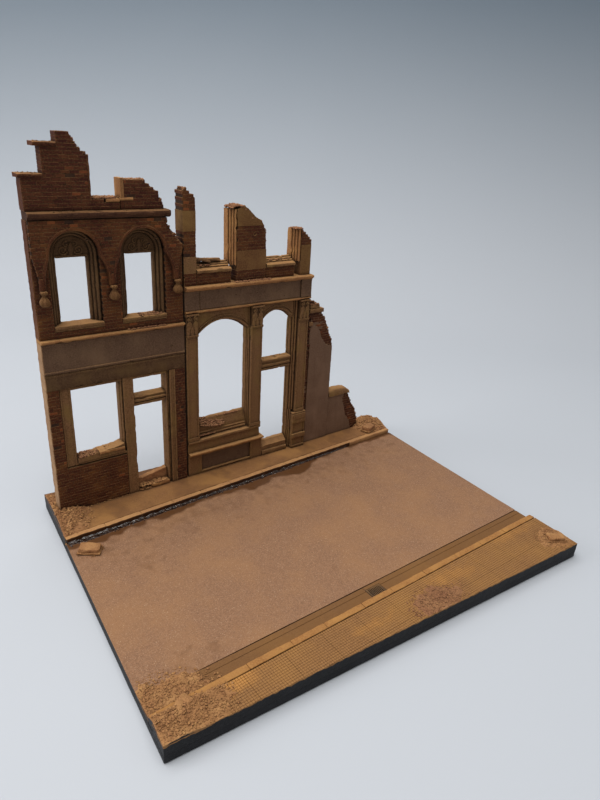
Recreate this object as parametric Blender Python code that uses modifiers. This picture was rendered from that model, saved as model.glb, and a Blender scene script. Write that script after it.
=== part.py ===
"""Ruined street corner for tabletop games and dioramas: a base board with a street laid on it, and the
broken fronts of two shop buildings standing along its rear pavement.

The frame is the base board's: X runs along its front edge, Y to the rear, Z up, and the origin is the
middle of its underside. The named sizes are in millimetres; the helper functions turn them into metres.
The buildings stand on a line that is turned a little from the board's edges. Their parts are placed along
that line: the first number is the distance along it, the second the depth behind the front of the walls,
and the third the height above the table.
"""

import math
import random

import bmesh
import bpy
from mathutils import Matrix, Vector

MM = 0.001
GAP = 0.3

# The base board and the street on it.
BOARD_WIDTH = 300.0
BOARD_DEPTH = 231.0
BOARD_THICKNESS = 5.0
ROAD_TOP = 7.5
PAVEMENT_TOP = 10.9
KERB_WIDTH = 4.2
REAR_KERB_Y = 68.9
REAR_KERB_TURN = 5.69
FRONT_KERB_Y = -86.2
FRONT_KERB_TURN = 4.06
GUTTER_WIDTH = 12.4
GRATE_SIZE = (11.4, 8.8, 1.6)
GRATE_BARS = 9

# The line of the buildings.
FRONT_LINE_Y = 93.3
FRONT_LINE_TURN = 3.45
WALL_BOTTOM = PAVEMENT_TOP + GAP

# The left building.
LEFT_START = -145.7
LEFT_END = -50.2
LEFT_THICKNESS = 9.0
LEFT_FRAME_TOP = 102.3
LINTEL_TOP = 113.4
FASCIA_TOP = 133.4
LEDGE_TOP = 135.7
UPPER_WALL_TOP = 206.8
CORNICE_TOP = 211.7
LEFT_WINDOW = (-130.8, -97.6, 52.2, 100.2)
LEFT_DOOR = (-88.8, -64.6, 20.0, 79.0)
LEFT_TRANSOM = (-88.8, -64.6, 86.6, 100.2)
ARCH_RADIUS = 15.3
ARCH_SPRING = 186.0
ARCH_CENTRES = (-121.0, -77.8)
UPPER_OPENING_WIDTH = 19.0
UPPER_OPENING = (143.8, 184.8)
CORBEL_PLACES = (-141.3, -98.9, -55.4)
CORBEL_TOP = 166.6

# The right building.
RIGHT_START = -49.4
RIGHT_END = 59.0
RIGHT_THICKNESS = 11.0
SHOPFRONT_BACK = 6.8
RISER_TOP = 28.2
LOWER_SILL_TOP = 30.9
SILL_PANEL_TOP = 39.2
UPPER_SILL_TOP = 41.4
SHOPFRONT_TOP = 141.0
ENTABLATURE_TOP = 156.9
RIGHT_LEDGE_TOP = 160.2
SHOP_WINDOW = (-37.4, 2.9, 56.6, 123.5, 132.0)
SHOP_DOOR = (16.6, 43.4, 25.0, 86.3)
FANLIGHT = (16.6, 43.4, 96.0, 127.0, 133.6)

# The end wall and the low wall beside the right building.
END_WALL_END = 88.3
END_WALL_THICKNESS = 8.0
LOW_WALL_END = 128.0
LOW_WALL_TOP = 48.5

COLOURS = {
    "black_edge": ((0.02, 0.02, 0.02), 0.45),
    "road": ((0.27, 0.19, 0.14), 0.9),
    "pavement": ((0.30, 0.20, 0.11), 0.85),
    "kerb": ((0.42, 0.27, 0.15), 0.8),
    "iron": ((0.05, 0.045, 0.04), 0.6),
    "brick": ((0.13, 0.07, 0.05), 0.85),
    "olive_trim": ((0.14, 0.10, 0.06), 0.8),
    "grey_trim": ((0.16, 0.12, 0.09), 0.8),
    "ochre_trim": ((0.33, 0.20, 0.09), 0.8),
    "render": ((0.15, 0.12, 0.10), 0.85),
    "rubble": ((0.34, 0.21, 0.13), 0.95),
    "timber": ((0.16, 0.11, 0.07), 0.8),
}


def clear_scene():
    for item in list(bpy.data.objects):
        bpy.data.objects.remove(item, do_unlink=True)


def collection(name, hidden=False):
    made = bpy.data.collections.new(name)
    bpy.context.scene.collection.children.link(made)
    made.hide_render = hidden
    return made


def guide(name, y, turn):
    """An empty that holds a street or building line: parts under it are measured along that line."""
    made = bpy.data.objects.new(name, None)
    made.location = (0, y * MM, 0)
    made.rotation_euler = (0, 0, math.radians(turn))
    PARTS.objects.link(made)
    return made


def material(name):
    """The Principled material of a paint, made once."""
    if name in bpy.data.materials:
        return bpy.data.materials[name]
    colour, roughness = COLOURS[name]
    made = bpy.data.materials.new(name)
    made.use_nodes = True
    shader = made.node_tree.nodes["Principled BSDF"]
    shader.inputs["Base Color"].default_value = (*colour, 1)
    shader.inputs["Roughness"].default_value = roughness
    shader.inputs["Metallic"].default_value = 0
    return made


def place(name, mesh, paint, parent=None, where=None):
    made = bpy.data.objects.new(name, mesh)
    (where or PARTS).objects.link(made)
    made.parent = parent
    if paint:
        mesh.materials.append(material(paint))
    return made


def mesh_from(shape, name):
    """Closes a bmesh, turns its faces outward and makes it a mesh."""
    bmesh.ops.remove_doubles(shape, verts=shape.verts, dist=1e-6)
    bmesh.ops.recalc_face_normals(shape, faces=shape.faces)
    mesh = bpy.data.meshes.new(name)
    shape.to_mesh(mesh)
    shape.free()
    return mesh


def block(name, x, y, z, paint, parent=None, where=None):
    """A box between the limits x, y and z in millimetres."""
    middle = [(low + high) / 2 * MM for low, high in (x, y, z)]
    size = [(high - low) * MM for low, high in (x, y, z)]
    shape = bmesh.new()
    bmesh.ops.create_cube(shape, size=1, matrix=Matrix.Translation(middle) @ Matrix.Diagonal((*size, 1)))
    return place(name, mesh_from(shape, name), paint, parent, where)


STANDING = Matrix(((1, 0, 0), (0, 0, -1), (0, 1, 0)))
LYING = Matrix.Identity(3)
ALONG = Matrix(((0, 0, 1), (1, 0, 0), (0, 1, 0)))


def extruded(name, loops, low, high, turn, paint, parent=None, where=None):
    """A flat outline, with its holes, given a thickness: STANDING draws it in length and height, LYING in
    plan, and ALONG in depth and height, as the section of a moulding that runs along the wall."""
    curve = bpy.data.curves.new(name, "CURVE")
    curve.dimensions = "2D"
    curve.fill_mode = "BOTH"
    curve.extrude = (high - low) / 2 * MM
    for loop in loops:
        spline = curve.splines.new("POLY")
        spline.points.add(len(loop) - 1)
        for point, (u, v) in zip(spline.points, loop):
            point.co = (u * MM, v * MM, 0, 1)
        spline.use_cyclic_u = True
    outline = bpy.data.objects.new(name + "_outline", curve)
    PARTS.objects.link(outline)
    graph = bpy.context.evaluated_depsgraph_get()
    flat = bpy.data.meshes.new_from_object(outline.evaluated_get(graph))
    bpy.data.objects.remove(outline, do_unlink=True)
    shape = bmesh.new()
    shape.from_mesh(flat)
    bpy.data.meshes.remove(flat)
    middle = turn @ Vector((0, 0, (low + high) / 2 * MM))
    if turn is STANDING:
        middle = -middle
    bmesh.ops.transform(shape, matrix=Matrix.Translation(middle) @ turn.to_4x4(), verts=shape.verts)
    return place(name, mesh_from(shape, name), paint, parent, where)


def plate(name, loops, front, back, paint):
    """An upright slab of the building line, between two depths."""
    return extruded(name, loops, front, back, STANDING, paint, BUILDING_LINE)


def moulding(name, section, start, end, paint):
    """A straight moulding of the building line, drawn by its section of depths and heights."""
    return extruded(name, [section], start, end, ALONG, paint, BUILDING_LINE)


def wall_block(name, x, y, z, paint):
    return block(name, x, y, z, paint, BUILDING_LINE)


def rectangle(left, right, bottom, top):
    return [(left, bottom), (right, bottom), (right, top), (left, top)]


def arc(centre_x, centre_z, radius, start, end, steps):
    angles = [math.radians(start + (end - start) * i / steps) for i in range(steps + 1)]
    return [(centre_x + radius * math.cos(a), centre_z + radius * math.sin(a)) for a in angles]


def round_arch(centre, radius, bottom, spring, steps=16):
    """A rectangle under a half circle."""
    return [(centre - radius, bottom), (centre + radius, bottom)] + arc(centre, spring, radius, 0, 180, steps)


def segment_arch(left, right, bottom, spring, crown, steps=12):
    """A rectangle under a flat arch through its spring and crown heights."""
    half = (right - left) / 2
    rise = crown - spring
    radius = (half * half + rise * rise) / (2 * rise)
    reach = math.degrees(math.asin(half / radius))
    top = arc((left + right) / 2, crown - radius, radius, 90 - reach, 90 + reach, steps)
    return [(left, bottom), (right, bottom)] + top


def combine(target, other, operation):
    """Joins another object to the target, or cuts it away, and removes it."""
    bpy.context.view_layer.update()
    step = target.modifiers.new(operation.lower(), "BOOLEAN")
    step.operation = operation
    step.solver = "EXACT"
    step.object = other
    graph = bpy.context.evaluated_depsgraph_get()
    result = bpy.data.meshes.new_from_object(target.evaluated_get(graph))
    target.modifiers.clear()
    target.data = result
    bpy.data.objects.remove(other, do_unlink=True)
    return target


def turned(name, profile, x, y, paint):
    """A round piece about an upright axis, from a profile of radii and heights that runs down."""
    mesh = bpy.data.meshes.new(name)
    points = [(radius * MM, 0, z * MM) for radius, z in profile]
    mesh.from_pydata(points, [(i, i + 1) for i in range(len(points) - 1)], [])
    made = place(name, mesh, paint, BUILDING_LINE)
    made.location = (x * MM, y * MM, 0)
    screw = made.modifiers.new("turn", "SCREW")
    screw.steps = 14
    screw.render_steps = 14
    screw.use_merge_vertices = True
    screw.merge_threshold = 0.00001
    return made


def heap(name, x, y, bottom, radii, paint, seed, detail=3):
    """A low mound with a flat underside and a lumpy top."""
    noise = random.Random(seed)
    shape = bmesh.new()
    bmesh.ops.create_icosphere(shape, subdivisions=detail, radius=1)
    for vert in shape.verts:
        vert.co *= 1 + noise.uniform(-0.09, 0.09)
        vert.co = Vector(c * r * MM for c, r in zip(vert.co, radii))
    everything = shape.verts[:] + shape.edges[:] + shape.faces[:]
    cut = bmesh.ops.bisect_plane(
        shape, geom=everything, plane_co=(0, 0, 0), plane_no=(0, 0, 1), clear_inner=True
    )
    rim = [item for item in cut["geom_cut"] if isinstance(item, bmesh.types.BMEdge)]
    bmesh.ops.contextual_create(shape, geom=rim)
    bmesh.ops.translate(shape, verts=shape.verts, vec=(x * MM, y * MM, bottom * MM))
    return place(name, mesh_from(shape, name), paint)


def stone(name, x, y, z, size, turn, paint="rubble"):
    """A squared stone that lies on the ground, its upper edges worn off."""
    length, width, height = size
    shape = bmesh.new()
    bmesh.ops.create_cube(shape, size=1, matrix=Matrix.Diagonal((length * MM, width * MM, height * MM, 1)))
    top = [edge for edge in shape.edges if all(v.co.z > 0 for v in edge.verts)]
    bmesh.ops.bevel(shape, geom=top, offset=0.9 * MM, segments=1, affect="EDGES")
    made = place(name, mesh_from(shape, name), paint)
    made.location = (x * MM, y * MM, (z + height / 2) * MM)
    made.rotation_euler = (0, 0, math.radians(turn))
    return made


def street_y(x, y, turn):
    """The y of a street line where it crosses x."""
    return y + x * math.tan(math.radians(turn))


def street_strip(near, far, turn):
    """A strip between two street lines, cut off at the board's ends."""
    half = BOARD_WIDTH / 2
    return [
        (-half, street_y(-half, near, turn)),
        (half, street_y(half, near, turn)),
        (half, street_y(half, far, turn)),
        (-half, street_y(-half, far, turn)),
    ]


def make_street():
    half_width = BOARD_WIDTH / 2
    half_depth = BOARD_DEPTH / 2
    bed = BOARD_THICKNESS + GAP
    gutter_near = FRONT_KERB_Y + GAP
    gutter_far = FRONT_KERB_Y + GUTTER_WIDTH
    kerb_near = FRONT_KERB_Y - KERB_WIDTH
    rear_joint = REAR_KERB_Y + KERB_WIDTH + GAP

    block("base_board", (-half_width, half_width), (-half_depth, half_depth), (0, BOARD_THICKNESS), "black_edge")

    road_near = street_strip(gutter_far + GAP, 0, FRONT_KERB_TURN)[:2]
    road_far = street_strip(0, REAR_KERB_Y - GAP, REAR_KERB_TURN)[2:]
    extruded("road_slab", [road_near + road_far], bed, ROAD_TOP, LYING, "road")

    gutter = extruded(
        "gutter_strip", [street_strip(gutter_near, gutter_far, FRONT_KERB_TURN)], bed, ROAD_TOP, LYING, "pavement"
    )
    length, width, height = GRATE_SIZE
    kerb_line = guide("front_kerb_line", FRONT_KERB_Y, FRONT_KERB_TURN)
    grate_y = (0.7, 0.7 + width)
    pocket = block(
        "grate_pocket",
        (-length / 2 - GAP, length / 2 + GAP),
        (grate_y[0] - GAP, grate_y[1] + GAP),
        (ROAD_TOP - height - GAP, ROAD_TOP + 1),
        None,
        kerb_line,
        CUTTERS,
    )
    combine(gutter, pocket, "DIFFERENCE")
    grate = block(
        "drain_grate", (-length / 2, length / 2), grate_y, (ROAD_TOP - height, ROAD_TOP - 0.1), "iron", kerb_line
    )
    pitch = length / GRATE_BARS
    for i in range(GRATE_BARS - 1):
        middle = -length / 2 + pitch * (i + 1)
        slot = block(
            "grate_slot",
            (middle - pitch * 0.22, middle + pitch * 0.22),
            (grate_y[0] + 1, grate_y[1] - 1),
            (ROAD_TOP - 0.9, ROAD_TOP + 1),
            None,
            kerb_line,
            CUTTERS,
        )
        combine(grate, slot, "DIFFERENCE")

    extruded(
        "front_kerb", [street_strip(kerb_near, FRONT_KERB_Y, FRONT_KERB_TURN)], bed, PAVEMENT_TOP, LYING, "kerb"
    )
    pavement_near = [(-half_width, -half_depth), (half_width, -half_depth)]
    pavement_far = street_strip(0, kerb_near - GAP, FRONT_KERB_TURN)[2:]
    extruded("front_pavement", [pavement_near + pavement_far], bed, PAVEMENT_TOP, LYING, "pavement")

    extruded(
        "rear_kerb",
        [street_strip(REAR_KERB_Y, REAR_KERB_Y + KERB_WIDTH, REAR_KERB_TURN)],
        bed,
        PAVEMENT_TOP,
        LYING,
        "kerb",
    )
    rear_near = street_strip(rear_joint, 0, REAR_KERB_TURN)[:2]
    rear_far = [(half_width, half_depth), (-half_width, half_depth)]
    extruded("rear_pavement", [rear_near + rear_far], bed, PAVEMENT_TOP, LYING, "pavement")


def make_left_ground_floor():
    """The left shop: brick piers and a brick panel, with the window and door frames between them."""
    window_left, window_right, window_bottom, window_top = LEFT_WINDOW
    door_left, door_right, door_bottom, door_top = LEFT_DOOR
    frame_left = window_left - 7.2
    post_left = window_right + 1.4
    frame_bottom = 45.3
    pier_start = door_right + 1.9
    corner_pier = [
        (LEFT_START, WALL_BOTTOM),
        (post_left - GAP, WALL_BOTTOM),
        (post_left - GAP, frame_bottom - GAP),
        (frame_left - GAP, frame_bottom - GAP),
        (frame_left - GAP, LEFT_FRAME_TOP),
        (LEFT_START, LEFT_FRAME_TOP),
    ]
    plate("left_shop_brickwork", [corner_pier], 0, LEFT_THICKNESS, "brick")
    plate(
        "left_shop_end_pier",
        [rectangle(pier_start + GAP, LEFT_END, WALL_BOTTOM, LEFT_FRAME_TOP)],
        -0.6,
        LEFT_THICKNESS,
        "brick",
    )
    plate(
        "left_shop_window_frame",
        [
            rectangle(frame_left, post_left - GAP, frame_bottom, LEFT_FRAME_TOP),
            rectangle(window_left, window_right, frame_bottom + 1.7, window_top),
        ],
        1.2,
        LEFT_THICKNESS,
        "olive_trim",
    )
    wall_block(
        "left_shop_window_sill",
        (window_left + GAP, window_right - GAP),
        (-0.6, LEFT_THICKNESS - 0.5),
        (frame_bottom + 1.7 + GAP, window_bottom),
        "olive_trim",
    )
    plate(
        "left_shop_door_frame",
        [
            [
                (post_left, WALL_BOTTOM),
                (door_left, WALL_BOTTOM),
                (door_left, door_top),
                (door_right, door_top),
                (door_right, WALL_BOTTOM),
                (pier_start, WALL_BOTTOM),
                (pier_start, LEFT_FRAME_TOP),
                (post_left, LEFT_FRAME_TOP),
            ],
            rectangle(*LEFT_TRANSOM),
        ],
        0.4,
        LEFT_THICKNESS,
        "olive_trim",
    )
    wall_block(
        "left_shop_threshold",
        (door_left + GAP, door_right - GAP),
        (-0.4, LEFT_THICKNESS - 0.4),
        (WALL_BOTTOM, door_bottom),
        "rubble",
    )
    wall_block(
        "left_shop_lintel",
        (LEFT_START, LEFT_END),
        (-0.5, LEFT_THICKNESS),
        (LEFT_FRAME_TOP + GAP, LINTEL_TOP),
        "olive_trim",
    )
    wall_block(
        "left_fascia_board",
        (LEFT_START, LEFT_END),
        (-0.8, LEFT_THICKNESS),
        (LINTEL_TOP + GAP, FASCIA_TOP),
        "grey_trim",
    )
    ledge = [
        (LEFT_THICKNESS, FASCIA_TOP + GAP),
        (LEFT_THICKNESS, LEDGE_TOP),
        (-2.4, LEDGE_TOP),
        (-2.8, LEDGE_TOP - 0.9),
        (-1.2, FASCIA_TOP + GAP),
    ]
    moulding("left_fascia_ledge", ledge, LEFT_START, LEFT_END, "ochre_trim")


def make_left_upper_floor():
    """The floor above the left shop: two arched recesses with their surrounds, sills and corbels."""
    bottom = LEDGE_TOP + GAP
    sill_top = UPPER_OPENING[0] - GAP
    recess_bottom = sill_top - 3.4
    wall = [
        (LEFT_START, bottom),
        (LEFT_END, bottom),
        (LEFT_END, 189.0),
        (-54.0, 193.5),
        (-57.4, 197.8),
        (-60.7, 202.3),
        (-60.4, UPPER_WALL_TOP),
        (LEFT_START, UPPER_WALL_TOP),
    ]
    recesses = [round_arch(centre, ARCH_RADIUS, recess_bottom, ARCH_SPRING) for centre in ARCH_CENTRES]
    plate("left_upper_wall", [wall] + recesses, 0, LEFT_THICKNESS, "brick")

    front = arch_band_outline()
    plate("brick_arch_band", [front], -2.4, -GAP, "brick")

    side_names = ("left", "right")
    for side, centre in zip(side_names, ARCH_CENTRES):
        surround = round_arch(centre, ARCH_RADIUS - GAP, UPPER_OPENING[0], ARCH_SPRING)
        half = UPPER_OPENING_WIDTH / 2
        bottom_edge, top_edge = UPPER_OPENING
        # The opening has no rail under it: the sill closes it there.
        right_side = [(centre + half, bottom_edge), (centre + half, top_edge)]
        left_side = [(centre - half, top_edge), (centre - half, bottom_edge)]
        opening = right_side + left_side
        outline = [surround[0]] + opening[::-1] + surround[1:]
        frame = plate(f"arched_surround_{side}", [outline], 3.0, LEFT_THICKNESS, "olive_trim")
        tympanum = arc(centre, ARCH_SPRING + 0.4, 9.4, 0, 180, 14)
        combine(frame, plate("tympanum", [tympanum], 2.0, 4.0, None), "UNION")
        wall_block(
            f"upper_sill_{side}",
            (centre - ARCH_RADIUS + GAP, centre + ARCH_RADIUS - GAP),
            (-0.6, LEFT_THICKNESS - 0.5),
            (recess_bottom + GAP, sill_top),
            "ochre_trim",
        )

    profile = [
        (0.0, CORBEL_TOP),
        (1.9, CORBEL_TOP),
        (2.0, CORBEL_TOP - 1.4),
        (1.3, CORBEL_TOP - 2.4),
        (1.5, CORBEL_TOP - 3.6),
        (2.9, CORBEL_TOP - 5.2),
        (3.3, CORBEL_TOP - 7.2),
        (2.6, CORBEL_TOP - 8.6),
        (0.0, CORBEL_TOP - 9.0),
    ]
    for side, centre in zip(("left", "middle", "right"), CORBEL_PLACES):
        turned(f"corbel_{side}", profile, centre, -3.3 - GAP, "ochre_trim")

    cornice = [
        (LEFT_THICKNESS, UPPER_WALL_TOP + GAP),
        (LEFT_THICKNESS, CORNICE_TOP),
        (-2.6, CORNICE_TOP),
        (-3.8, CORNICE_TOP - 0.8),
        (-4.1, CORNICE_TOP - 2.2),
        (-3.2, CORNICE_TOP - 3.6),
        (-1.6, UPPER_WALL_TOP + GAP),
    ]
    moulding("upper_cornice", cornice, LEFT_START + 0.6, -58.4, "ochre_trim")


def arch_band_outline():
    """The proud brickwork over the arches, which tapers down to a corbel on each pier."""
    foot = CORBEL_TOP + GAP
    half_foot = 2.0
    shoulder = 176.5
    left, middle, right = CORBEL_PLACES
    radius = ARCH_RADIUS + 0.2
    points = [(LEFT_START, UPPER_WALL_TOP), (LEFT_START, shoulder), (left - half_foot, foot), (left + half_foot, foot)]
    points += [(ARCH_CENTRES[0] - radius, shoulder)]
    points += arc(ARCH_CENTRES[0], ARCH_SPRING, radius, 180, 0, 14)
    points += [(ARCH_CENTRES[0] + radius, shoulder), (middle - half_foot, foot), (middle + half_foot, foot)]
    points += [(ARCH_CENTRES[1] - radius, shoulder)]
    points += arc(ARCH_CENTRES[1], ARCH_SPRING, radius, 180, 0, 14)
    points += [(ARCH_CENTRES[1] + radius, shoulder), (right - half_foot, foot), (right + half_foot, foot)]
    points += [(LEFT_END - 0.4, shoulder), (LEFT_END - 0.4, 189.0)]
    points += [(-57.4, 197.8), (-60.7, 202.3), (-60.4, UPPER_WALL_TOP)]
    return points


def make_gable():
    """The stepped gable over the left building, with its two copings and a broken piece of parapet."""
    bottom = CORNICE_TOP + GAP
    step_top = 229.6
    peak_shelf = 246.2
    coping_height = 2.5
    outline = [
        (LEFT_START, bottom),
        (-90.6, bottom),
        (-90.6, 218.6),
        (-96.5, 219.2),
        (-102.0, 220.8),
        (-108.0, 222.1),
        (-108.5, 243.3),
        (-113.0, 246.2),
        (-115.8, 249.9),
        (-117.5, 254.3),
        (-125.0, 253.9),
        (-125.0, peak_shelf),
        (-134.0, peak_shelf),
        (-134.0, step_top),
        (LEFT_START, step_top),
    ]
    plate("gable_wall", [outline], 0, LEFT_THICKNESS, "brick")
    wall_block(
        "gable_coping_lower",
        (-147.6, -134.0 - GAP),
        (-1.3, LEFT_THICKNESS + 0.8),
        (step_top + GAP, step_top + coping_height),
        "brick",
    )
    wall_block(
        "gable_coping_upper",
        (-137.8, -125.0 - GAP),
        (-1.3, LEFT_THICKNESS + 0.8),
        (peak_shelf + GAP, peak_shelf + coping_height),
        "brick",
    )
    remnant = [
        (-90.0, bottom),
        (-61.2, bottom),
        (-64.2, 218.3),
        (-65.3, 223.0),
        (-70.4, 226.6),
        (-74.2, 230.0),
        (-90.0, 230.4),
    ]
    plate("parapet_remnant", [remnant], 0, LEFT_THICKNESS, "brick")


def make_shopfront():
    """The right building's ground floor: stall riser, sills, arched window, door and three pilasters."""
    window_left, window_right, window_bottom, window_spring, window_crown = SHOP_WINDOW
    door_left, door_right, door_bottom, door_top = SHOP_DOOR
    back = RIGHT_THICKNESS
    riser_end = door_left + 1.6
    riser_height = (WALL_BOTTOM, RISER_TOP)
    riser = wall_block("stall_riser", (RIGHT_START + 0.6, riser_end), (0, back), riser_height, "grey_trim")
    panel = block(
        "riser_panel", (-37.2, 7.2), (-2, 1.6), (WALL_BOTTOM + 2.2, RISER_TOP - 1.4), None, BUILDING_LINE, CUTTERS
    )
    combine(riser, panel, "DIFFERENCE")
    lower_sill = [(back, RISER_TOP + GAP), (back, LOWER_SILL_TOP), (-3.0, LOWER_SILL_TOP)]
    lower_sill += [(-3.2, RISER_TOP + 1.2), (-1.6, RISER_TOP + GAP)]
    moulding("lower_sill_ledge", lower_sill, RIGHT_START + 1.0, riser_end, "ochre_trim")
    upper_sill = [
        (back, LOWER_SILL_TOP + GAP),
        (back, UPPER_SILL_TOP),
        (-1.6, UPPER_SILL_TOP),
        (-1.6, SILL_PANEL_TOP),
        (0, SILL_PANEL_TOP - 0.6),
        (0, LOWER_SILL_TOP + GAP),
    ]
    moulding("upper_sill_ledge", upper_sill, RIGHT_START + 0.6, door_left - 1.2, "ochre_trim")

    pilaster_bottom = UPPER_SILL_TOP + GAP
    pilasters = {
        "left": (RIGHT_START + 0.4, window_left - 2.2, pilaster_bottom),
        "middle": (window_right + 2.3, door_left - 1.3, pilaster_bottom),
        "right": (door_right + 6.4, RIGHT_END, 44.6),
    }
    for side, (start, end, bottom) in pilasters.items():
        shaft = wall_block(f"pilaster_{side}", (start, end), (-1.4, back), (bottom, SHOPFRONT_TOP), "olive_trim")
        capital = block(
            "capital", (start + 0.05, end - 0.05), (-2.6, 3), (125.5, SHOPFRONT_TOP - 0.2), None, BUILDING_LINE, CUTTERS
        )
        combine(shaft, capital, "UNION")

    plate(
        "shop_window_frame",
        [
            rectangle(window_left - 1.9, window_right + 2.0, pilaster_bottom, SHOPFRONT_TOP),
            segment_arch(window_left, window_right, window_bottom, window_spring, window_crown),
        ],
        1.0,
        SHOPFRONT_BACK,
        "olive_trim",
    )
    plate(
        "shop_door_frame",
        [
            [
                (door_left - 1.0, LOWER_SILL_TOP + GAP),
                (door_left, LOWER_SILL_TOP + GAP),
                (door_left, door_top),
                (door_right, door_top),
                (door_right, WALL_BOTTOM),
                (door_right + 3.6, WALL_BOTTOM),
                (door_right + 3.6, 46.5),
                (door_right + 6.1, 46.5),
                (door_right + 6.1, SHOPFRONT_TOP),
                (door_left - 1.0, SHOPFRONT_TOP),
            ],
            segment_arch(*FANLIGHT),
        ],
        1.0,
        SHOPFRONT_BACK,
        "olive_trim",
    )
    wall_block(
        "shop_door_threshold",
        (riser_end + GAP, door_right - GAP),
        (-0.6, SHOPFRONT_BACK),
        (WALL_BOTTOM, door_bottom - 3.0),
        "ochre_trim",
    )
    pedestal = wall_block(
        "pilaster_pedestal", (door_right + 3.9, RIGHT_END + 1.6), (-2.4, back), (WALL_BOTTOM, 38.0), "olive_trim"
    )
    for low, high, proud in ((20.5, 24.5, 1.4), (34.0, 38.2, 0.7), (37.0, 44.2, 1.0)):
        band = block(
            "pedestal_band",
            (door_right + 4.4, RIGHT_END + 1.2),
            (-2.4 - proud, 4),
            (low, high),
            None,
            BUILDING_LINE,
            CUTTERS,
        )
        combine(pedestal, band, "UNION")


def make_right_upper_floor():
    """The entablature over the shopfront and the broken piers and sills that stand on it."""
    back = RIGHT_THICKNESS
    strip_top = SHOPFRONT_TOP + GAP + 1.3
    start = RIGHT_START + 0.4
    strip_height = (SHOPFRONT_TOP + GAP, strip_top)
    wall_block("entablature_strip", (start, RIGHT_END + 1.0), (-2.2, back), strip_height, "ochre_trim")
    fascia_height = (strip_top + GAP, ENTABLATURE_TOP)
    fascia = wall_block("entablature_fascia", (start, 51.0), (-0.8, back), fascia_height, "grey_trim")
    end_block = block("end_block", (50.2, RIGHT_END + 1.0), (-1.8, back), fascia_height, None, BUILDING_LINE, CUTTERS)
    combine(fascia, end_block, "UNION")
    ledge = [
        (back, ENTABLATURE_TOP + GAP),
        (back, RIGHT_LEDGE_TOP),
        (-3.6, RIGHT_LEDGE_TOP),
        (-4.0, RIGHT_LEDGE_TOP - 1.3),
        (-2.4, ENTABLATURE_TOP + GAP),
    ]
    moulding("entablature_ledge", ledge, start, RIGHT_END + 1.0, "ochre_trim")

    foot = RIGHT_LEDGE_TOP + GAP
    tall = [(start, foot), (-39.6, foot), (-39.6, 218.6), (-44.0, 221.6), (-46.5, 224.6), (start, 223.4)]
    plate("tall_pier", [tall], 0, back, "brick")
    centre = [
        (-12.0, foot),
        (17.4, foot),
        (17.2, 180.0),
        (16.4, 195.5),
        (12.9, 202.3),
        (6.0, 205.4),
        (4.4, 208.2),
        (-1.5, 212.8),
        (-8.0, 212.2),
        (-12.0, 208.0),
    ]
    plate("centre_pier", [centre], 0, back, "brick")
    right = [(43.6, foot), (RIGHT_END - 0.6, foot), (RIGHT_END - 0.8, 187.5)]
    right += [(52.2, 193.4), (48.6, 195.9), (43.6, 195.2)]
    plate("right_pier", [right], 0, back, "brick")

    sill = [
        (back, foot),
        (back, 173.6),
        (8.4, 175.0),
        (5.2, 175.0),
        (3.4, 173.4),
        (3.0, 171.2),
        (-1.2, 170.9),
        (-1.2, 168.8),
        (0, 168.6),
        (0, foot),
    ]
    moulding("upper_window_sill_left", sill, -39.6 + GAP, -12.0 - GAP, "ochre_trim")
    moulding("upper_window_sill_right", sill, 17.4 + GAP, 43.6 - GAP, "ochre_trim")
    timbers = block("fallen_timbers", (-11, 11), (-1.3, 1.3), (-0.7, 0.7), "timber", BUILDING_LINE)
    second = block("second_timber", (-7.5, 7.5), (-1.2, 1.2), (-0.6, 0.6), None, BUILDING_LINE, CUTTERS)
    timbers.location = (-27.0 * MM, 6.6 * MM, 177.0 * MM)
    timbers.rotation_euler = (0, math.radians(4), math.radians(5))
    second.location = (-28.5 * MM, 6.2 * MM, 177.2 * MM)
    second.rotation_euler = (0, math.radians(-4), math.radians(24))
    combine(timbers, second, "UNION")


def make_side_walls():
    """The broken end wall beside the right building and the low wall that runs on from it."""
    start = RIGHT_END + 1.6 + GAP
    end_wall = [
        (start, WALL_BOTTOM),
        (END_WALL_END, WALL_BOTTOM),
        (END_WALL_END, 102.0),
        (84.6, 105.5),
        (84.0, 110.0),
        (81.5, 115.0),
        (79.0, 121.5),
        (75.0, 127.5),
        (70.0, 134.0),
        (66.0, 137.0),
        (start, 138.0),
    ]
    plate("end_wall", [end_wall], 1.0, 1.0 + END_WALL_THICKNESS, "render")
    low_start = END_WALL_END + GAP
    low_wall = [
        (low_start, WALL_BOTTOM),
        (LOW_WALL_END, WALL_BOTTOM),
        (LOW_WALL_END - 1.5, 20.0),
        (122.5, 29.0),
        (117.0, 38.0),
        (113.0, 46.0),
        (112.0, LOW_WALL_TOP),
        (low_start, LOW_WALL_TOP),
    ]
    plate("low_wall", [low_wall], 2.0, 1.0 + END_WALL_THICKNESS, "render")
    coping = [(low_start, LOW_WALL_TOP + GAP), (112.6, LOW_WALL_TOP + GAP)]
    coping += [(111.5, 52.6), (104.0, 55.4), (low_start, 54.6)]
    plate("low_wall_coping", [coping], 0.6, 2.4 + END_WALL_THICKNESS, "ochre_trim")


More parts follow.
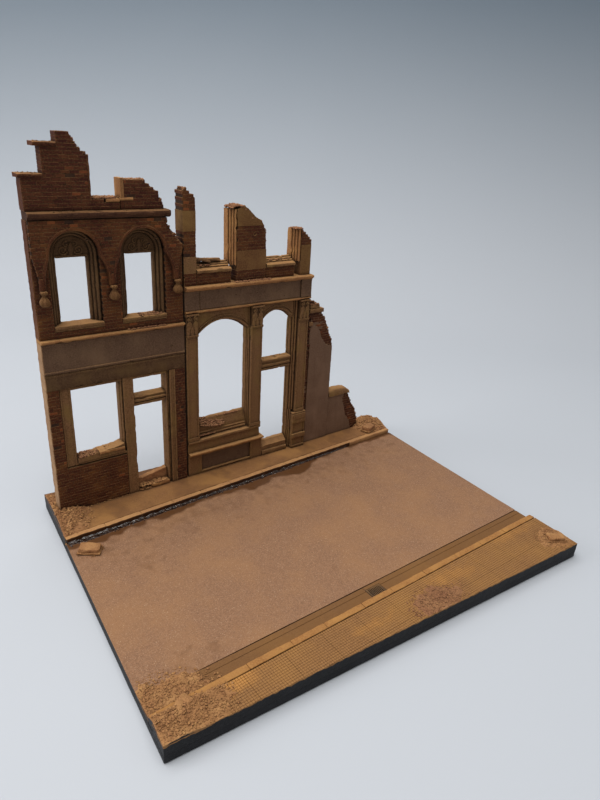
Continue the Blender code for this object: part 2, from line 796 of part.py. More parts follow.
def make_rubble():
    """Loose masonry: heaps at the corners of the board and squared stones on the street."""
    ground = PAVEMENT_TOP + GAP
    front_left = heap("rubble_front_left", -137.5, -99.0, ROAD_TOP + GAP, (34, 24, 5.6), "rubble", 3)
    raised = street_strip(-160, FRONT_KERB_Y + GAP, FRONT_KERB_TURN)
    step = extruded("raised_ground", [raised], 0, ground, LYING, None, None, CUTTERS)
    combine(front_left, step, "DIFFERENCE")
    keep_on_board(front_left)
    front_right = keep_on_board(heap("rubble_front_right", 141.0, -103.0, ground, (15, 13, 2.2), "rubble", 11, 2))
    rear_left = keep_on_board(heap("rubble_rear_left", -143.0, 86.0, ground, (20, 22, 4.6), "rubble", 5))
    clear_of_walls(rear_left)
    rear_right = keep_on_board(heap("rubble_rear_right", 141.0, 103.0, ground, (21, 19, 5.5), "rubble", 9))
    clear_of_walls(rear_right)
    stone("stone_block_road", -138.6, 39.5, ROAD_TOP + GAP, (12.6, 7.8, 4.4), -30)
    bedded_stone("stone_block_front_right", 139.4, -105.0, ground, (11.4, 6.8, 3.8), -26, front_right)
    bedded_stone("stone_block_rear_right", 130.5, 90.7, ground, (11.6, 7.8, 5.0), 24, rear_right)


def bedded_stone(name, x, y, z, size, turn, bed):
    """A squared stone sunk in a heap, with a pocket cut for it."""
    made = stone(name, x, y, z, size, turn)
    length, width, height = size
    pocket = block(
        "stone_pocket",
        (-length / 2 - GAP, length / 2 + GAP),
        (-width / 2 - GAP, width / 2 + GAP),
        (-height, height * 3),
        None,
        made,
        CUTTERS,
    )
    combine(bed, pocket, "DIFFERENCE")


def keep_on_board(target):
    """Cuts a heap off flush with the board's sides."""
    margin = GAP
    half_width = BOARD_WIDTH / 2 - margin
    half_depth = BOARD_DEPTH / 2 - margin
    limits = block("limits", (-half_width, half_width), (-half_depth, half_depth), (0, 60), None, None, CUTTERS)
    return combine(target, limits, "INTERSECT")


def clear_of_walls(target):
    """Cuts a heap back from the walls that stand in it."""
    standing = block(
        "standing_walls", (LEFT_START - GAP, LOW_WALL_END + GAP), (-GAP, 9.0 + GAP), (0, 60), None, BUILDING_LINE, CUTTERS
    )
    return combine(target, standing, "DIFFERENCE")


clear_scene()
PARTS = collection("street_ruin")
CUTTERS = collection("cutters", hidden=True)
BUILDING_LINE = guide("building_line", FRONT_LINE_Y, FRONT_LINE_TURN)
bpy.context.view_layer.update()
make_street()
make_left_ground_floor()
make_left_upper_floor()
make_gable()
make_shopfront()
make_right_upper_floor()
make_side_walls()
make_rubble()
bpy.context.view_layer.update()
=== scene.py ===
"""Looks of the ruined street corner: every brick, moulding, paving square and lump of rubble over the plain
CAD pieces, the paints on them, and the table, lights and camera.

Shapes are drawn in millimetres. Those of the buildings are drawn along the building line: the first number
is the distance along it, the second the depth behind the front of the walls, the third the height.
"""

import math
import random

import bmesh
import bpy
from mathutils import Euler, Matrix, Vector, noise


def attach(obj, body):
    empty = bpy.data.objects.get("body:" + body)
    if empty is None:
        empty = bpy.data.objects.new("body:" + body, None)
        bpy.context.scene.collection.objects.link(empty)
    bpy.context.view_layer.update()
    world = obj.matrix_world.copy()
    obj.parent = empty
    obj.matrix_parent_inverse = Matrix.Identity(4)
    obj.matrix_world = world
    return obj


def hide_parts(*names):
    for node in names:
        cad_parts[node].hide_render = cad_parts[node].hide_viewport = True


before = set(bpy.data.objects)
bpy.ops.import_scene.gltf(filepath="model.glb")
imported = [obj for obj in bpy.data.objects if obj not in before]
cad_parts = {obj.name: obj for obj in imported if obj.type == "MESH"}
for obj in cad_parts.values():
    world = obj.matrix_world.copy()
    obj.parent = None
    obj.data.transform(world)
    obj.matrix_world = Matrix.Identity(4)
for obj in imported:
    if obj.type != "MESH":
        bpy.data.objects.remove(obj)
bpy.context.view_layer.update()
noise.seed_set(1)  # or noise_vector would start from the clock, and each run would differ

MM = 0.001


def line_frame(y, turn):
    """The place of a street or building line: X runs along it from the board's middle."""
    return Matrix.Translation((0, y * MM, 0)) @ Matrix.Rotation(math.radians(turn), 4, "Z")


REAR_KERB_TURN = 5.69
FRONT_KERB_TURN = 4.06
FRONT_KERB_Y = -86.2
WALL_LINE = line_frame(93.3, 3.45)
REAR_KERB_LINE = line_frame(68.9, REAR_KERB_TURN)
FRONT_KERB_LINE = line_frame(FRONT_KERB_Y, FRONT_KERB_TURN)
WORLD = Matrix.Identity(4)
HALF_WIDTH = 150.0
HALF_DEPTH = 115.5
BOARD_TOP = 5.0
ROAD_TOP = 7.5
PAVEMENT_TOP = 10.9


# Shapes ------------------------------------------------------------------------------------------------


class Shape:
    """Points in millimetres and the faces between them, gathered for one piece."""

    def __init__(self, name):
        self.name = name
        self.dice = random.Random(name)
        self.points = []
        self.faces = []
        self.tags = []

    def add(self, points, faces, tag=0):
        first = len(self.points)
        self.points.extend(points)
        self.faces.extend(tuple(first + i for i in face) for face in faces)
        self.tags.extend([tag] * len(faces))


def span(node, place=WALL_LINE):
    """The limits of a CAD node along, behind and above a line, in millimetres."""
    turned = place.inverted()
    points = [turned @ vertex.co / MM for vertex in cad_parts[node].data.vertices]
    return [(min(p[i] for p in points), max(p[i] for p in points)) for i in range(3)]


def shade(obj, angle):
    obj.data.shade_smooth()
    obj.data.set_sharp_from_angle(angle=math.radians(angle))


def finish(shape, paints, replaced=(), place=WALL_LINE, smooth=35):
    """Makes the piece, with its faces turned outward, and puts it on the frame."""
    mesh = bpy.data.meshes.new(shape.name)
    mesh.from_pydata([(x * MM, y * MM, z * MM) for x, y, z in shape.points], [], shape.faces)
    mesh.polygons.foreach_set("material_index", shape.tags)
    work = bmesh.new()
    work.from_mesh(mesh)
    bmesh.ops.remove_doubles(work, verts=work.verts, dist=1e-6)
    bmesh.ops.recalc_face_normals(work, faces=work.faces)
    work.to_mesh(mesh)
    work.free()
    return put(mesh, shape.name, paints, replaced, place, smooth)


def put(mesh, name, paints, replaced, place, smooth):
    for material in paints:
        mesh.materials.append(material)
    made = bpy.data.objects.new(name, mesh)
    bpy.context.scene.collection.objects.link(made)
    made.matrix_world = place
    shade(made, smooth)
    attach(made, "root")
    if replaced:
        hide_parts(*replaced)
    return made


def wear(point, amount, scale=0.35):
    """A point moved a little by noise, the same way at the same place."""
    shift = noise.noise_vector(Vector(point) * scale)
    return tuple(p + amount * s for p, s in zip(point, shift))


def stations(start, end, step):
    count = max(1, round(abs(end - start) / step))
    return [start + (end - start) * i / count for i in range(count + 1)]


def loft(shape, rings, tag=0, closed=False):
    """Joins rings that have as many points each with quads, and caps the ends unless closed is set."""
    size = len(rings[0])
    pairs = [(i, i + 1) for i in range(len(rings) - 1)]
    if closed:
        pairs.append((len(rings) - 1, 0))
    faces = []
    for near, far in pairs:
        for j in range(size):
            k = (j + 1) % size
            faces.append((near * size + j, near * size + k, far * size + k, far * size + j))
    if not closed:
        faces.append(tuple(range(size)))
        faces.append(tuple(range((len(rings) - 1) * size, len(rings) * size)))
    shape.add([point for ring in rings for point in ring], faces, tag)


def pulled(ring, chip):
    """A ring with some of its points pulled in, as where a moulding is chipped."""
    middle = Vector([sum(p[i] for p in ring) / len(ring) for i in range(3)])
    made = []
    for point in ring:
        depth = (noise.noise(Vector(point) * 0.22) - 0.28) * 3
        if depth <= 0:
            made.append(point)
            continue
        reach = middle - Vector(point)
        made.append(tuple(Vector(point) + reach.normalized() * min(chip * min(depth, 1), reach.length / 2)))
    return made


def moulding(shape, section, start, end, tag=0, amount=0.12, chip=0.5, step=1.6):
    """A strip along the wall, from its section of depths and heights."""
    rings = []
    for a in stations(start, end, step):
        rings.append(pulled([wear((a, d, z), amount) for d, z in section], chip))
    loft(shape, rings, tag)


def upright(shape, plan, low, high, tag=0, amount=0.1, chip=0.4, step=1.8):
    """A strip up the wall, from its plan of places and depths."""
    rings = []
    for z in stations(low, high, step):
        rings.append(pulled([wear((a, d, z), amount) for a, d in plan], chip))
    loft(shape, rings, tag)


def dense(path, step):
    made = []
    for (x0, z0), (x1, z1) in zip(path, path[1:]):
        count = max(1, round(math.hypot(x1 - x0, z1 - z0) / step))
        made += [(x0 + (x1 - x0) * i / count, z0 + (z1 - z0) * i / count) for i in range(count)]
    return made + [path[-1]]


def outward(path, closed):
    """At each point of a path that runs anticlockwise round an opening, the mitred direction away from it."""
    sides = []
    ends = path[1:] + path[:1] if closed else path[1:]
    for (x0, z0), (x1, z1) in zip(path, ends):
        sides.append(Vector((z1 - z0, x0 - x1)).normalized())
    made = []
    for i in range(len(path)):
        before = sides[i - 1] if i or closed else sides[0]
        after = sides[i] if i < len(sides) else sides[-1]
        middle = (before + after).normalized()
        made.append(middle / max(0.5, middle.dot(after)))
    return made


def surround(shape, path, profile, tag=0, closed=False, amount=0.1, chip=0.35):
    """A moulding round an opening. Its profile holds distances away from the opening, and depths."""
    rings = []
    for (x, z), side in zip(path, outward(path, closed)):
        ring = [wear((x + side.x * out, depth, z + side.y * out), amount) for out, depth in profile]
        rings.append(pulled(ring, chip))
    loft(shape, rings, tag, closed)


def reeds(width, inner, outer, count, back):
    """The profile of a frame in rounded ridges that step forward away from the opening."""
    profile = [(0, back)]
    each = width / count
    for k in range(count):
        depth = inner + (outer - inner) * k / max(1, count - 1)
        for share in (0.0, 0.15, 0.4, 0.7, 0.95):
            bulge = 0.34 * each * math.sin(math.pi * share)
            profile.append((each * (k + share), depth + 0.3 * each - bulge))
    return profile + [(width, back)]


def arc(x, z, radius, start, end, steps):
    angles = [math.radians(start + (end - start) * i / steps) for i in range(steps + 1)]
    return [(x + radius * math.cos(t), z + radius * math.sin(t)) for t in angles]


def flat_arch(left, right, spring, crown, steps=14):
    """The curve of a flat arch, from right to left."""
    half = (right - left) / 2
    rise = crown - spring
    radius = (half * half + rise * rise) / (2 * rise)
    reach = math.degrees(math.asin(half / radius))
    return arc((left + right) / 2, crown - radius, radius, 90 - reach, 90 + reach, steps)


def curtain(shape, line, level, depth, tag=0):
    """Fills the space between a line of points and a level above or below it."""
    front, back = depth
    rings = [[(x, front, z), (x, front, level), (x, back, level), (x, back, z)] for x, z in line]
    loft(shape, rings, tag)


BOX_CORNERS = [(x, y, z) for x in (-1, 1) for y in (-1, 1) for z in (-1, 1)]


def chamfered_faces():
    """The faces of a box with three points at each corner: its sides, its bevelled edges and its corners."""
    faces = [(3 * i, 3 * i + 1, 3 * i + 2) for i in range(8)]
    for axis in range(3):
        first, second = [i for i in range(3) if i != axis]

        def at(u, v, w, point):
            corner = [0, 0, 0]
            corner[first], corner[second], corner[axis] = u, v, w
            return BOX_CORNERS.index(tuple(corner)) * 3 + point

        for side in (-1, 1):
            faces.append(tuple(at(u, v, side, axis) for u, v in ((-1, -1), (1, -1), (1, 1), (-1, 1))))
        for u in (-1, 1):
            for v in (-1, 1):
                faces.append((at(u, v, -1, first), at(u, v, 1, first), at(u, v, 1, second),
                              at(u, v, -1, second)))
    return faces


CHAMFERED = chamfered_faces()


def brick(shape, x, y, z, tag=0, chamfer=0.14, rough=0.06):
    """A box with bevelled edges whose corners are a little out of true."""
    middle = [(low + high) / 2 for low, high in (x, y, z)]
    half = [abs(high - low) / 2 for low, high in (x, y, z)]
    cut = min(chamfer, 0.7 * min(half))
    points = []
    for corner in BOX_CORNERS:
        shift = [shape.dice.uniform(-rough, rough) for _ in range(3)]
        for axis in range(3):
            inset = [0 if i == axis else cut for i in range(3)]
            points.append(tuple(middle[i] + corner[i] * (half[i] - inset[i]) + shift[i] for i in range(3)))
    shape.add(points, CHAMFERED, tag)


def crossings(loops, z):
    """Where a level line crosses the loops, from left to right."""
    found = []
    for loop in loops:
        for (x0, z0), (x1, z1) in zip(loop, loop[1:] + loop[:1]):
            if (z0 <= z) != (z1 <= z):
                found.append(x0 + (x1 - x0) * (z - z0) / (z1 - z0))
    return sorted(found)


def brickwork(shape, loops, depth, course=2.05, length=6.2, ragged=None, tag=0, mortar=1, proud=0.07):
    """Bricks in half bond that fill an outline, on a mortar core. ragged tells how torn an edge is."""
    levels = [z for loop in loops for _, z in loop]
    bottom, top = min(levels), max(levels)
    rows = max(1, round((top - bottom) / course))
    height = (top - bottom) / rows
    front, back = depth
    joint = 0.07
    recess = min(0.18, (back - front) / 4)
    shortest = 0.7
    jutting, jutting_odds = 0.7, 0.012
    for row in range(rows):
        low = bottom + row * height
        edges = crossings(loops, low + height / 2)
        for left, right in zip(edges[::2], edges[1::2]):
            if ragged:
                left += shape.dice.uniform(-0.2, 1) * ragged(left, low)
                right -= shape.dice.uniform(-0.2, 1) * ragged(right, low)
            if right - left < 0.8:
                continue
            core = ((left + 0.25, right - 0.25), (front + recess, back - recess),
                    (low - 0.04, low + height + 0.04))
            brick(shape, *core, tag=mortar, chamfer=0.02, rough=0.03)
            x = (math.floor(left / length) - 1 + (row % 2) / 2) * length
            while x < right:
                start, end = max(left, x + joint), min(right, x + length - joint)
                x += length
                if end - start < shortest:
                    continue
                out = shape.dice.uniform(-proud, proud)
                if shape.dice.random() < jutting_odds:
                    out += jutting
                brick(shape, (start, end), (front + out, back - out), (low + joint, low + height - joint),
                      tag)


def torn_plate(shape, outline, depth, tag=0, layers=5):
    """An upright plate. Each point of its outline says how broken the edge after it is."""
    front, back = depth
    line = []
    for (x0, z0, rough), (x1, z1, _) in zip(outline, outline[1:] + outline[:1]):
        count = max(1, round(math.hypot(x1 - x0, z1 - z0) / (0.8 if rough else 4)))
        line += [(x0 + (x1 - x0) * i / count, z0 + (z1 - z0) * i / count, rough) for i in range(count)]
    rings = []
    for d in stations(front, back, (back - front) / layers):
        ring = []
        for x, z, rough in line:
            shift = noise.noise_vector(Vector((x, d, z)) * 0.8) * rough
            ring.append((x + shift.x, d, z + shift.z))
        rings.append(ring)
    loft(shape, rings, tag)


def axis_lines(half, radius, step):
    """Where the lattice lines of a rounded block fall on one axis."""
    radius = min(radius, half * 0.9)
    inner = half - radius
    count = max(1, round(2 * inner / step))
    middle = [-inner + 2 * inner * i / count for i in range(count + 1)]
    return [-half, -half + radius * 0.4] + middle + [half - radius * 0.4, half]


def worn_block(shape, x, y, z, tag=0, radius=0.6, step=2.5, rough=0.2, scale=0.3, place=WORLD):
    """A block with rounded edges and an uneven surface."""
    middle = Vector([(low + high) / 2 for low, high in (x, y, z)])
    half = [abs(high - low) / 2 for low, high in (x, y, z)]
    radius = min(radius, 0.9 * min(half))
    lines = [axis_lines(h, radius, step) for h in half]
    for axis in range(3):
        first, second = [i for i in range(3) if i != axis]
        for side in (-half[axis], half[axis]):
            points = []
            for u in lines[first]:
                for v in lines[second]:
                    p = Vector((0, 0, 0))
                    p[axis], p[first], p[second] = side, u, v
                    core = Vector([max(-h + radius, min(h - radius, c)) for c, h in zip(p, half)])
                    p = core + (p - core).normalized() * radius + middle
                    p = Vector(wear(p, rough, scale)) + noise.noise_vector(p * 1.3) * rough * 0.3
                    points.append(tuple(place @ p))
            width = len(lines[second])
            faces = []
            for i in range(len(lines[first]) - 1):
                for j in range(width - 1):
                    k = i * width + j
                    faces.append((k, k + 1, k + width + 1, k + width))
            shape.add(points, faces, tag)


GOLD = (1 + math.sqrt(5)) / 2
CHUNK_POINTS = [
    Vector(point).normalized()
    for a in (-1, 1)
    for b in (-GOLD, GOLD)
    for point in ((0, a, b), (a, b, 0), (b, 0, a))
]


def chunk_faces():
    """The twenty triangles of an icosahedron: the point triples that are all one edge apart."""
    edge = 1.06
    near = [[(p - q).length < edge for q in CHUNK_POINTS] for p in CHUNK_POINTS]
    return [
        (i, j, k)
        for i in range(12)
        for j in range(i + 1, 12)
        for k in range(j + 1, 12)
        if near[i][j] and near[j][k] and near[i][k]
    ]


CHUNK = chunk_faces()


def chunk(shape, x, y, z, size, tag=0, flat=0.75):
    """A broken lump of masonry."""
    dice = shape.dice
    spin = Euler([dice.uniform(0, math.tau) for _ in range(3)]).to_matrix()
    stretch = [dice.uniform(0.7, 1.3) for _ in range(3)]
    points = []
    for corner in CHUNK_POINTS:
        p = spin @ Vector([c * s * size * dice.uniform(0.75, 1.1) for c, s in zip(corner, stretch)])
        points.append((x + p.x, y + p.y, z + p.z * flat))
    shape.add(points, CHUNK, tag)


def debris(shape, along, depth, level, count, size, tag=0):
    """Chunks strewn over a place; level is a height, or a function of the place."""
    dice = shape.dice
    for _ in range(2 * count):
        x, y = dice.uniform(*along), dice.uniform(*depth)
        big = size * dice.choice((0.2, 0.3, 0.35, 0.45, 0.75))
        z = level(x, y) if callable(level) else level
        chunk(shape, x, y, z + 0.25 * big, big, tag)


def crust(shape, path, depth, size, tag=0):
    """Small lumps along a broken edge, over the whole thickness of its wall."""
    dice = shape.dice
    for (x0, z0), (x1, z1) in zip(path, path[1:]):
        area = math.hypot(x1 - x0, z1 - z0) * (depth[1] - depth[0])
        for _ in range(round(area / size ** 2 * 0.9)):
            share = dice.random()
            x, z = x0 + (x1 - x0) * share, z0 + (z1 - z0) * share
            big = size * dice.uniform(0.45, 1.0)
            x += dice.uniform(-0.3, 0.8)
            chunk(shape, x, dice.uniform(depth[0] + big / 2, depth[1] - big / 2), z, big, tag, 0.9)


def lathe(shape, profile, a, d, tag=0, steps=18, lobes=0, swell=0.0):
    """A round piece on an upright axis, its sides drawn out into lobes where asked."""
    rings = []
    for radius, z in profile:
        ring = []
        for i in range(steps):
            t = math.tau * i / steps
            r = max(radius, 0.02) * (1 + swell * math.cos(lobes * t))
            ring.append(wear((a + r * math.sin(t), d + r * math.cos(t), z), 0.06))
        rings.append(ring)
    loft(shape, rings, tag)


def scroll(shape, a, d, z, radius, turns, thick, tag=0, mirror=1, start=0.0):
    """A raised spiral on the face of the wall."""
    steps = int(turns * 16)
    rings = []
    for i in range(steps + 1):
        share = i / steps
        t = math.radians(start) + turns * math.tau * share
        r = radius * (1 - 0.85 * share)
        here = thick * (1 - 0.45 * share)
        centre = Vector((a + mirror * r * math.cos(t), d, z + r * math.sin(t)))
        out = Vector((mirror * math.cos(t), 0, math.sin(t)))
        ring = []
        for j in range(6):
            w = math.tau * j / 6
            ring.append(tuple(centre + out * here * math.cos(w) + Vector((0, here * math.sin(w), 0))))
        rings.append(ring)
    loft(shape, rings, tag)


def leaf(shape, a, d, z, width, height, proud, tag=0):
    """A lobe of carved leaf: a half-round blade with a rib, bent forward at its tip."""
    rings = []
    for i in range(7):
        share = i / 6
        half = width / 2 * math.sin(math.pi * (0.16 + 0.8 * share)) ** 0.7
        forward = d - proud * (0.35 + 0.65 * share * share)
        level = z + height * share
        front = [(a + half * c, forward - 0.35 * (1 - abs(c)), level)
                 for c in (-1, -0.5, -0.12, 0.12, 0.5, 1)]
        rings.append(front + [(a + half, d + 0.8, level), (a - half, d + 0.8, level)])
    loft(shape, rings, tag)


BOARD_SIDES = (((1, 0, 0), HALF_WIDTH), ((-1, 0, 0), HALF_WIDTH), ((0, 1, 0), HALF_DEPTH),
               ((0, -1, 0), HALF_DEPTH))


def slice_off(work, point, normal):
    """Cuts away what is beyond a plane, given in millimetres."""
    everything = work.verts[:] + work.edges[:] + work.faces[:]
    bmesh.ops.bisect_plane(work, geom=everything, plane_co=Vector(point) * MM, plane_no=normal,
                           clear_outer=True)


def drop_rim(work, rim, fall):
    """Draws the rim downward and returns the new rim and the new faces."""
    made = bmesh.ops.extrude_edge_only(work, edges=rim)["geom"]
    for item in made:
        if isinstance(item, bmesh.types.BMVert):
            item.co.z = fall(item.co)
    edges = [item for item in made if isinstance(item, bmesh.types.BMEdge)]
    return edges, [item for item in made if isinstance(item, bmesh.types.BMFace)]


def ground(name, along, across, level, paints, replaced=(), place=WORLD, cuts=(), bottom=BOARD_TOP,
           inset=0.0, stain=None):
    """A slab of uneven ground, trimmed to the board, with its side painted black up to a wavering line.
    along and across hold its grid lines, each with how far it is sunk."""
    work = bmesh.new()
    grid = []
    for v, v_sunk in across:
        row = []
        for u, u_sunk in along:
            spot = place @ Vector((u * MM, v * MM, 0))
            z = level(spot.x / MM, spot.y / MM) - max(u_sunk, v_sunk)
            row.append(work.verts.new((spot.x, spot.y, z * MM)))
        grid.append(row)
    for low, high in zip(grid, grid[1:]):
        for j in range(len(low) - 1):
            work.faces.new((low[j], low[j + 1], high[j + 1], high[j]))
    for normal, reach in BOARD_SIDES:
        slice_off(work, Vector(normal) * (reach - inset), normal)
    for point, normal in cuts:
        slice_off(work, point, normal)
    bmesh.ops.remove_doubles(work, verts=work.verts, dist=1e-6)
    rim = [edge for edge in work.edges if edge.is_boundary]
    rim, _ = drop_rim(work, rim, lambda co: co.z - (0.6 + 0.8 * noise.noise(co / MM * 0.4)) * MM)
    rim, sides = drop_rim(work, rim, lambda co: bottom * MM)
    for face in sides:
        face.material_index = 1
    bmesh.ops.holes_fill(work, edges=rim, sides=0)
    bmesh.ops.recalc_face_normals(work, faces=work.faces)
    mesh = bpy.data.meshes.new(name)
    work.to_mesh(mesh)
    work.free()
    if stain:
        layer = mesh.attributes.new("stain", "FLOAT", "POINT")
        layer.data.foreach_set("value", [stain(v.co.x / MM, v.co.y / MM) for v in mesh.vertices])
    return put(mesh, name, paints, replaced, WORLD, 50)


def plain(start, end, step):
    return [(value, 0.0) for value in stations(start, end, step)]


def squares(start, end, pitch, every):
    """Grid lines of small paving squares, with a deeper seam between slabs."""
    seam, joint, edge = 0.5, 0.28, 0.16
    lines = []
    for i in range(round((end - start) / pitch)):
        x = start + i * pitch
        sunk = seam if i % every == 0 else joint
        lines += [(x, sunk), (x + edge, 0.0), (x + pitch - edge, 0.0)]
    return lines


def ripple(x, y, size, seed=0.0):
    return noise.noise(Vector((x / size, y / size, seed)))


def smooth_step(value):
    value = max(0.0, min(1.0, value))
    return value * value * (3 - 2 * value)


# Paints ------------------------------------------------------------------------------------------------


def srgb(red, green, blue):
    """A linear colour from its screen values."""
    values = [c / 255 for c in (red, green, blue)]
    return tuple([c / 12.92 if c < 0.04045 else ((c + 0.055) / 1.055) ** 2.4 for c in values] + [1.0])


class Paint:
    """A material and short ways to add nodes to it."""

    def __init__(self, name):
        self.material = bpy.data.materials.new(name)
        self.material.use_nodes = True
        self.nodes = self.material.node_tree.nodes
        self.links = self.material.node_tree.links
        self.shader = self.nodes["Principled BSDF"]
        self.place = self.node("ShaderNodeTexCoord").outputs["Object"]
        self.surface = self.node("ShaderNodeNewGeometry")

    def node(self, kind, inputs=None, **settings):
        made = self.nodes.new(kind)
        for key, value in settings.items():
            setattr(made, key, value)
        for key, value in (inputs or {}).items():
            if isinstance(value, bpy.types.NodeSocket):
                self.links.new(value, made.inputs[key])
            else:
                made.inputs[key].default_value = value
        return made

    def noise(self, size, detail=4, roughness=0.55, stretch=None):
        """Noise of a size in millimetres, drawn out along one axis where asked."""
        place = self.place
        if stretch:
            place = self.node("ShaderNodeMapping", {"Vector": place, "Scale": stretch}).outputs[0]
        inputs = {"Vector": place, "Scale": 1 / (size * MM), "Detail": detail, "Roughness": roughness}
        return self.node("ShaderNodeTexNoise", inputs).outputs[0]

    def ranged(self, value, low, high, to_low=0.0, to_high=1.0):
        inputs = {"Value": value, "From Min": low, "From Max": high, "To Min": to_low, "To Max": to_high}
        return self.node("ShaderNodeMapRange", inputs).outputs[0]

    def maths(self, operation, first, second=0.0):
        return self.node("ShaderNodeMath", {0: first, 1: second}, operation=operation).outputs[0]

    def mix(self, share, first, second, blend="MIX"):
        inputs = {0: share, 6: first, 7: second}
        return self.node("ShaderNodeMix", inputs, data_type="RGBA", blend_type=blend).outputs[2]

    def edges(self, radius=0.45):
        """How sharply the surface turns: high along its edges."""
        rounded = self.node("ShaderNodeBevel", {"Radius": radius * MM}, samples=4).outputs[0]
        inputs = {0: rounded, 1: self.surface.outputs["Normal"]}
        same = self.node("ShaderNodeVectorMath", inputs, operation="DOT_PRODUCT").outputs["Value"]
        return self.ranged(same, 0.99, 0.86)

    def hollows(self, reach=3.0):
        """How far the surface is closed in: high in its corners and joints."""
        inputs = {"Distance": reach * MM}
        seen = self.node("ShaderNodeAmbientOcclusion", inputs, samples=6).outputs["AO"]
        return self.ranged(seen, 0.95, 0.35)

    def upward(self, low=0.5, high=0.95):
        parts = self.node("ShaderNodeSeparateXYZ", {0: self.surface.outputs["Normal"]})
        return self.ranged(parts.outputs["Z"], low, high)

    def finish(self, colour, height, relief, rough):
        """Sets the shader from a colour, a height map with its depth in millimetres, and a roughness."""
        bump = self.node("ShaderNodeBump", {"Height": height, "Distance": relief * MM, "Strength": 1.0})
        self.links.new(bump.outputs[0], self.shader.inputs["Normal"])
        self.links.new(colour, self.shader.inputs["Base Color"])
        self.links.new(rough, self.shader.inputs["Roughness"])
        return self.material


# The tone of the light dry brush on edges, and of the dust and painted light on what faces up.
DUST_AND_TOP_LIGHT = srgb(176, 132, 84)


def weathered(name, dark, base, light, grain=0.9, patch=14.0, varied=0.0, edge=0.4, dust_and_top_light=0.4, wash_and_shade=0.7,
              rough=0.85, relief=0.14, dust_and_top_light_tone=DUST_AND_TOP_LIGHT, streak=0.0, odd=0.0):
    """Painted plaster or resin: two tones in fine and broad mottling, a dark wash with painted shade in the
    hollows, a light dry brush on the edges, and dust with painted light on what faces up. varied shifts the
    tone from brick to brick, and odd paints a few of them orange."""
    paint = Paint(name)
    dark, base, light = srgb(*dark), srgb(*base), srgb(*light)
    fine = paint.noise(grain, 6, 0.65)
    broad = paint.noise(patch, 3, 0.55)
    colour = paint.mix(paint.ranged(fine, 0.36, 0.62), dark, base)
    colour = paint.mix(paint.ranged(broad, 0.46, 0.72, 0.0, 0.85), colour, light)
    if streak:
        runs = paint.noise(3.0, 4, 0.6, (1.0, 1.0, 0.08))
        colour = paint.mix(paint.ranged(runs, 0.5, 0.75, 0.0, streak), colour, dark)
    if varied:
        island = paint.surface.outputs["Random Per Island"]
        value = paint.ranged(island, 0, 1, 1 - varied, 1 + varied)
        inputs = {"Hue": paint.ranged(island, 0, 1, 0.493, 0.507), "Value": value, "Color": colour}
        colour = paint.node("ShaderNodeHueSaturation", inputs).outputs[0]
        colour = paint.mix(paint.ranged(island, 0.97, 0.975, 0.0, odd), colour, srgb(164, 84, 46))
    worn = paint.maths("MULTIPLY", paint.edges(), paint.ranged(fine, 0.4, 0.6, 0.15 * edge, edge))
    colour = paint.mix(worn, colour, dust_and_top_light_tone)
    # Painted top light: what faces up is painted lighter, partly settled dust and partly the light that falls
    # on tops.
    dust_and_top_light_share = paint.maths("MULTIPLY", paint.upward(), paint.ranged(broad, 0.3, 0.6, 0.5 * dust_and_top_light, dust_and_top_light))
    colour = paint.mix(dust_and_top_light_share, colour, dust_and_top_light_tone)
    # Dark wash and painted shade: the hollows are painted darker, partly a real wash and partly the shade
    # that falls there.
    wash_and_shade_share = paint.maths("MULTIPLY", paint.hollows(), wash_and_shade)
    paint.shader.inputs["Specular IOR Level"].default_value = 0.25
    colour = paint.mix(wash_and_shade_share, colour, tuple(c * 0.22 for c in dark[:3]) + (1.0,))
    height = paint.maths("ADD", fine, paint.maths("MULTIPLY", paint.noise(grain * 0.35, 3), 0.4))
    return paint.finish(colour, height, relief, paint.ranged(fine, 0.3, 0.7, rough + 0.08, rough - 0.1))


BRICK = weathered("brick_paint", (58, 28, 13), (90, 46, 23), (106, 64, 30), varied=0.2, edge=0.55,
                  dust_and_top_light=0.65, wash_and_shade=0.75, odd=0.3)
RED_BRICK = weathered("red_brick_paint", (52, 24, 13), (84, 40, 22), (96, 53, 28), varied=0.22, edge=0.55,
                      dust_and_top_light=0.6, wash_and_shade=0.75, odd=0.25)
MORTAR = weathered("mortar_paint", (44, 27, 18), (64, 41, 27), (78, 54, 34), edge=0.1, dust_and_top_light=0.5, wash_and_shade=0.6)
OLIVE = weathered("olive_paint", (100, 71, 45), (136, 99, 65), (126, 98, 55), streak=0.4, edge=0.9,
                  dust_and_top_light=0.85, wash_and_shade=1.0)
DARK_OLIVE = weathered("recess_paint", (70, 48, 30), (98, 70, 43), (108, 80, 49), edge=0.5, dust_and_top_light=0.5,
                       wash_and_shade=0.6)
GREY = weathered("fascia_paint", (84, 62, 46), (106, 80, 61), (116, 90, 67), patch=26, streak=0.3,
                 edge=0.55, dust_and_top_light=0.7, relief=0.07)
OCHRE = weathered("ledge_paint", (134, 90, 54), (164, 117, 74), (178, 132, 78), edge=0.8, dust_and_top_light=1.0,
                  wash_and_shade=0.9)
TAN_STONE = weathered("tan_stone_paint", (92, 60, 34), (118, 83, 47), (130, 96, 55), varied=0.1, edge=0.5,
                      dust_and_top_light=0.8, wash_and_shade=0.8)
CORNICE = weathered("cornice_paint", (52, 29, 17), (76, 45, 28), (86, 53, 33), edge=0.6, dust_and_top_light=0.4)
LINTEL = weathered("lintel_paint", (76, 53, 34), (96, 70, 46), (104, 79, 48), streak=0.3, edge=0.7,
                   dust_and_top_light=0.6, wash_and_shade=0.9)
RENDER = weathered("render_paint", (98, 74, 58), (122, 94, 74), (130, 102, 82), patch=22, streak=0.45,
                   edge=0.4, relief=0.08)
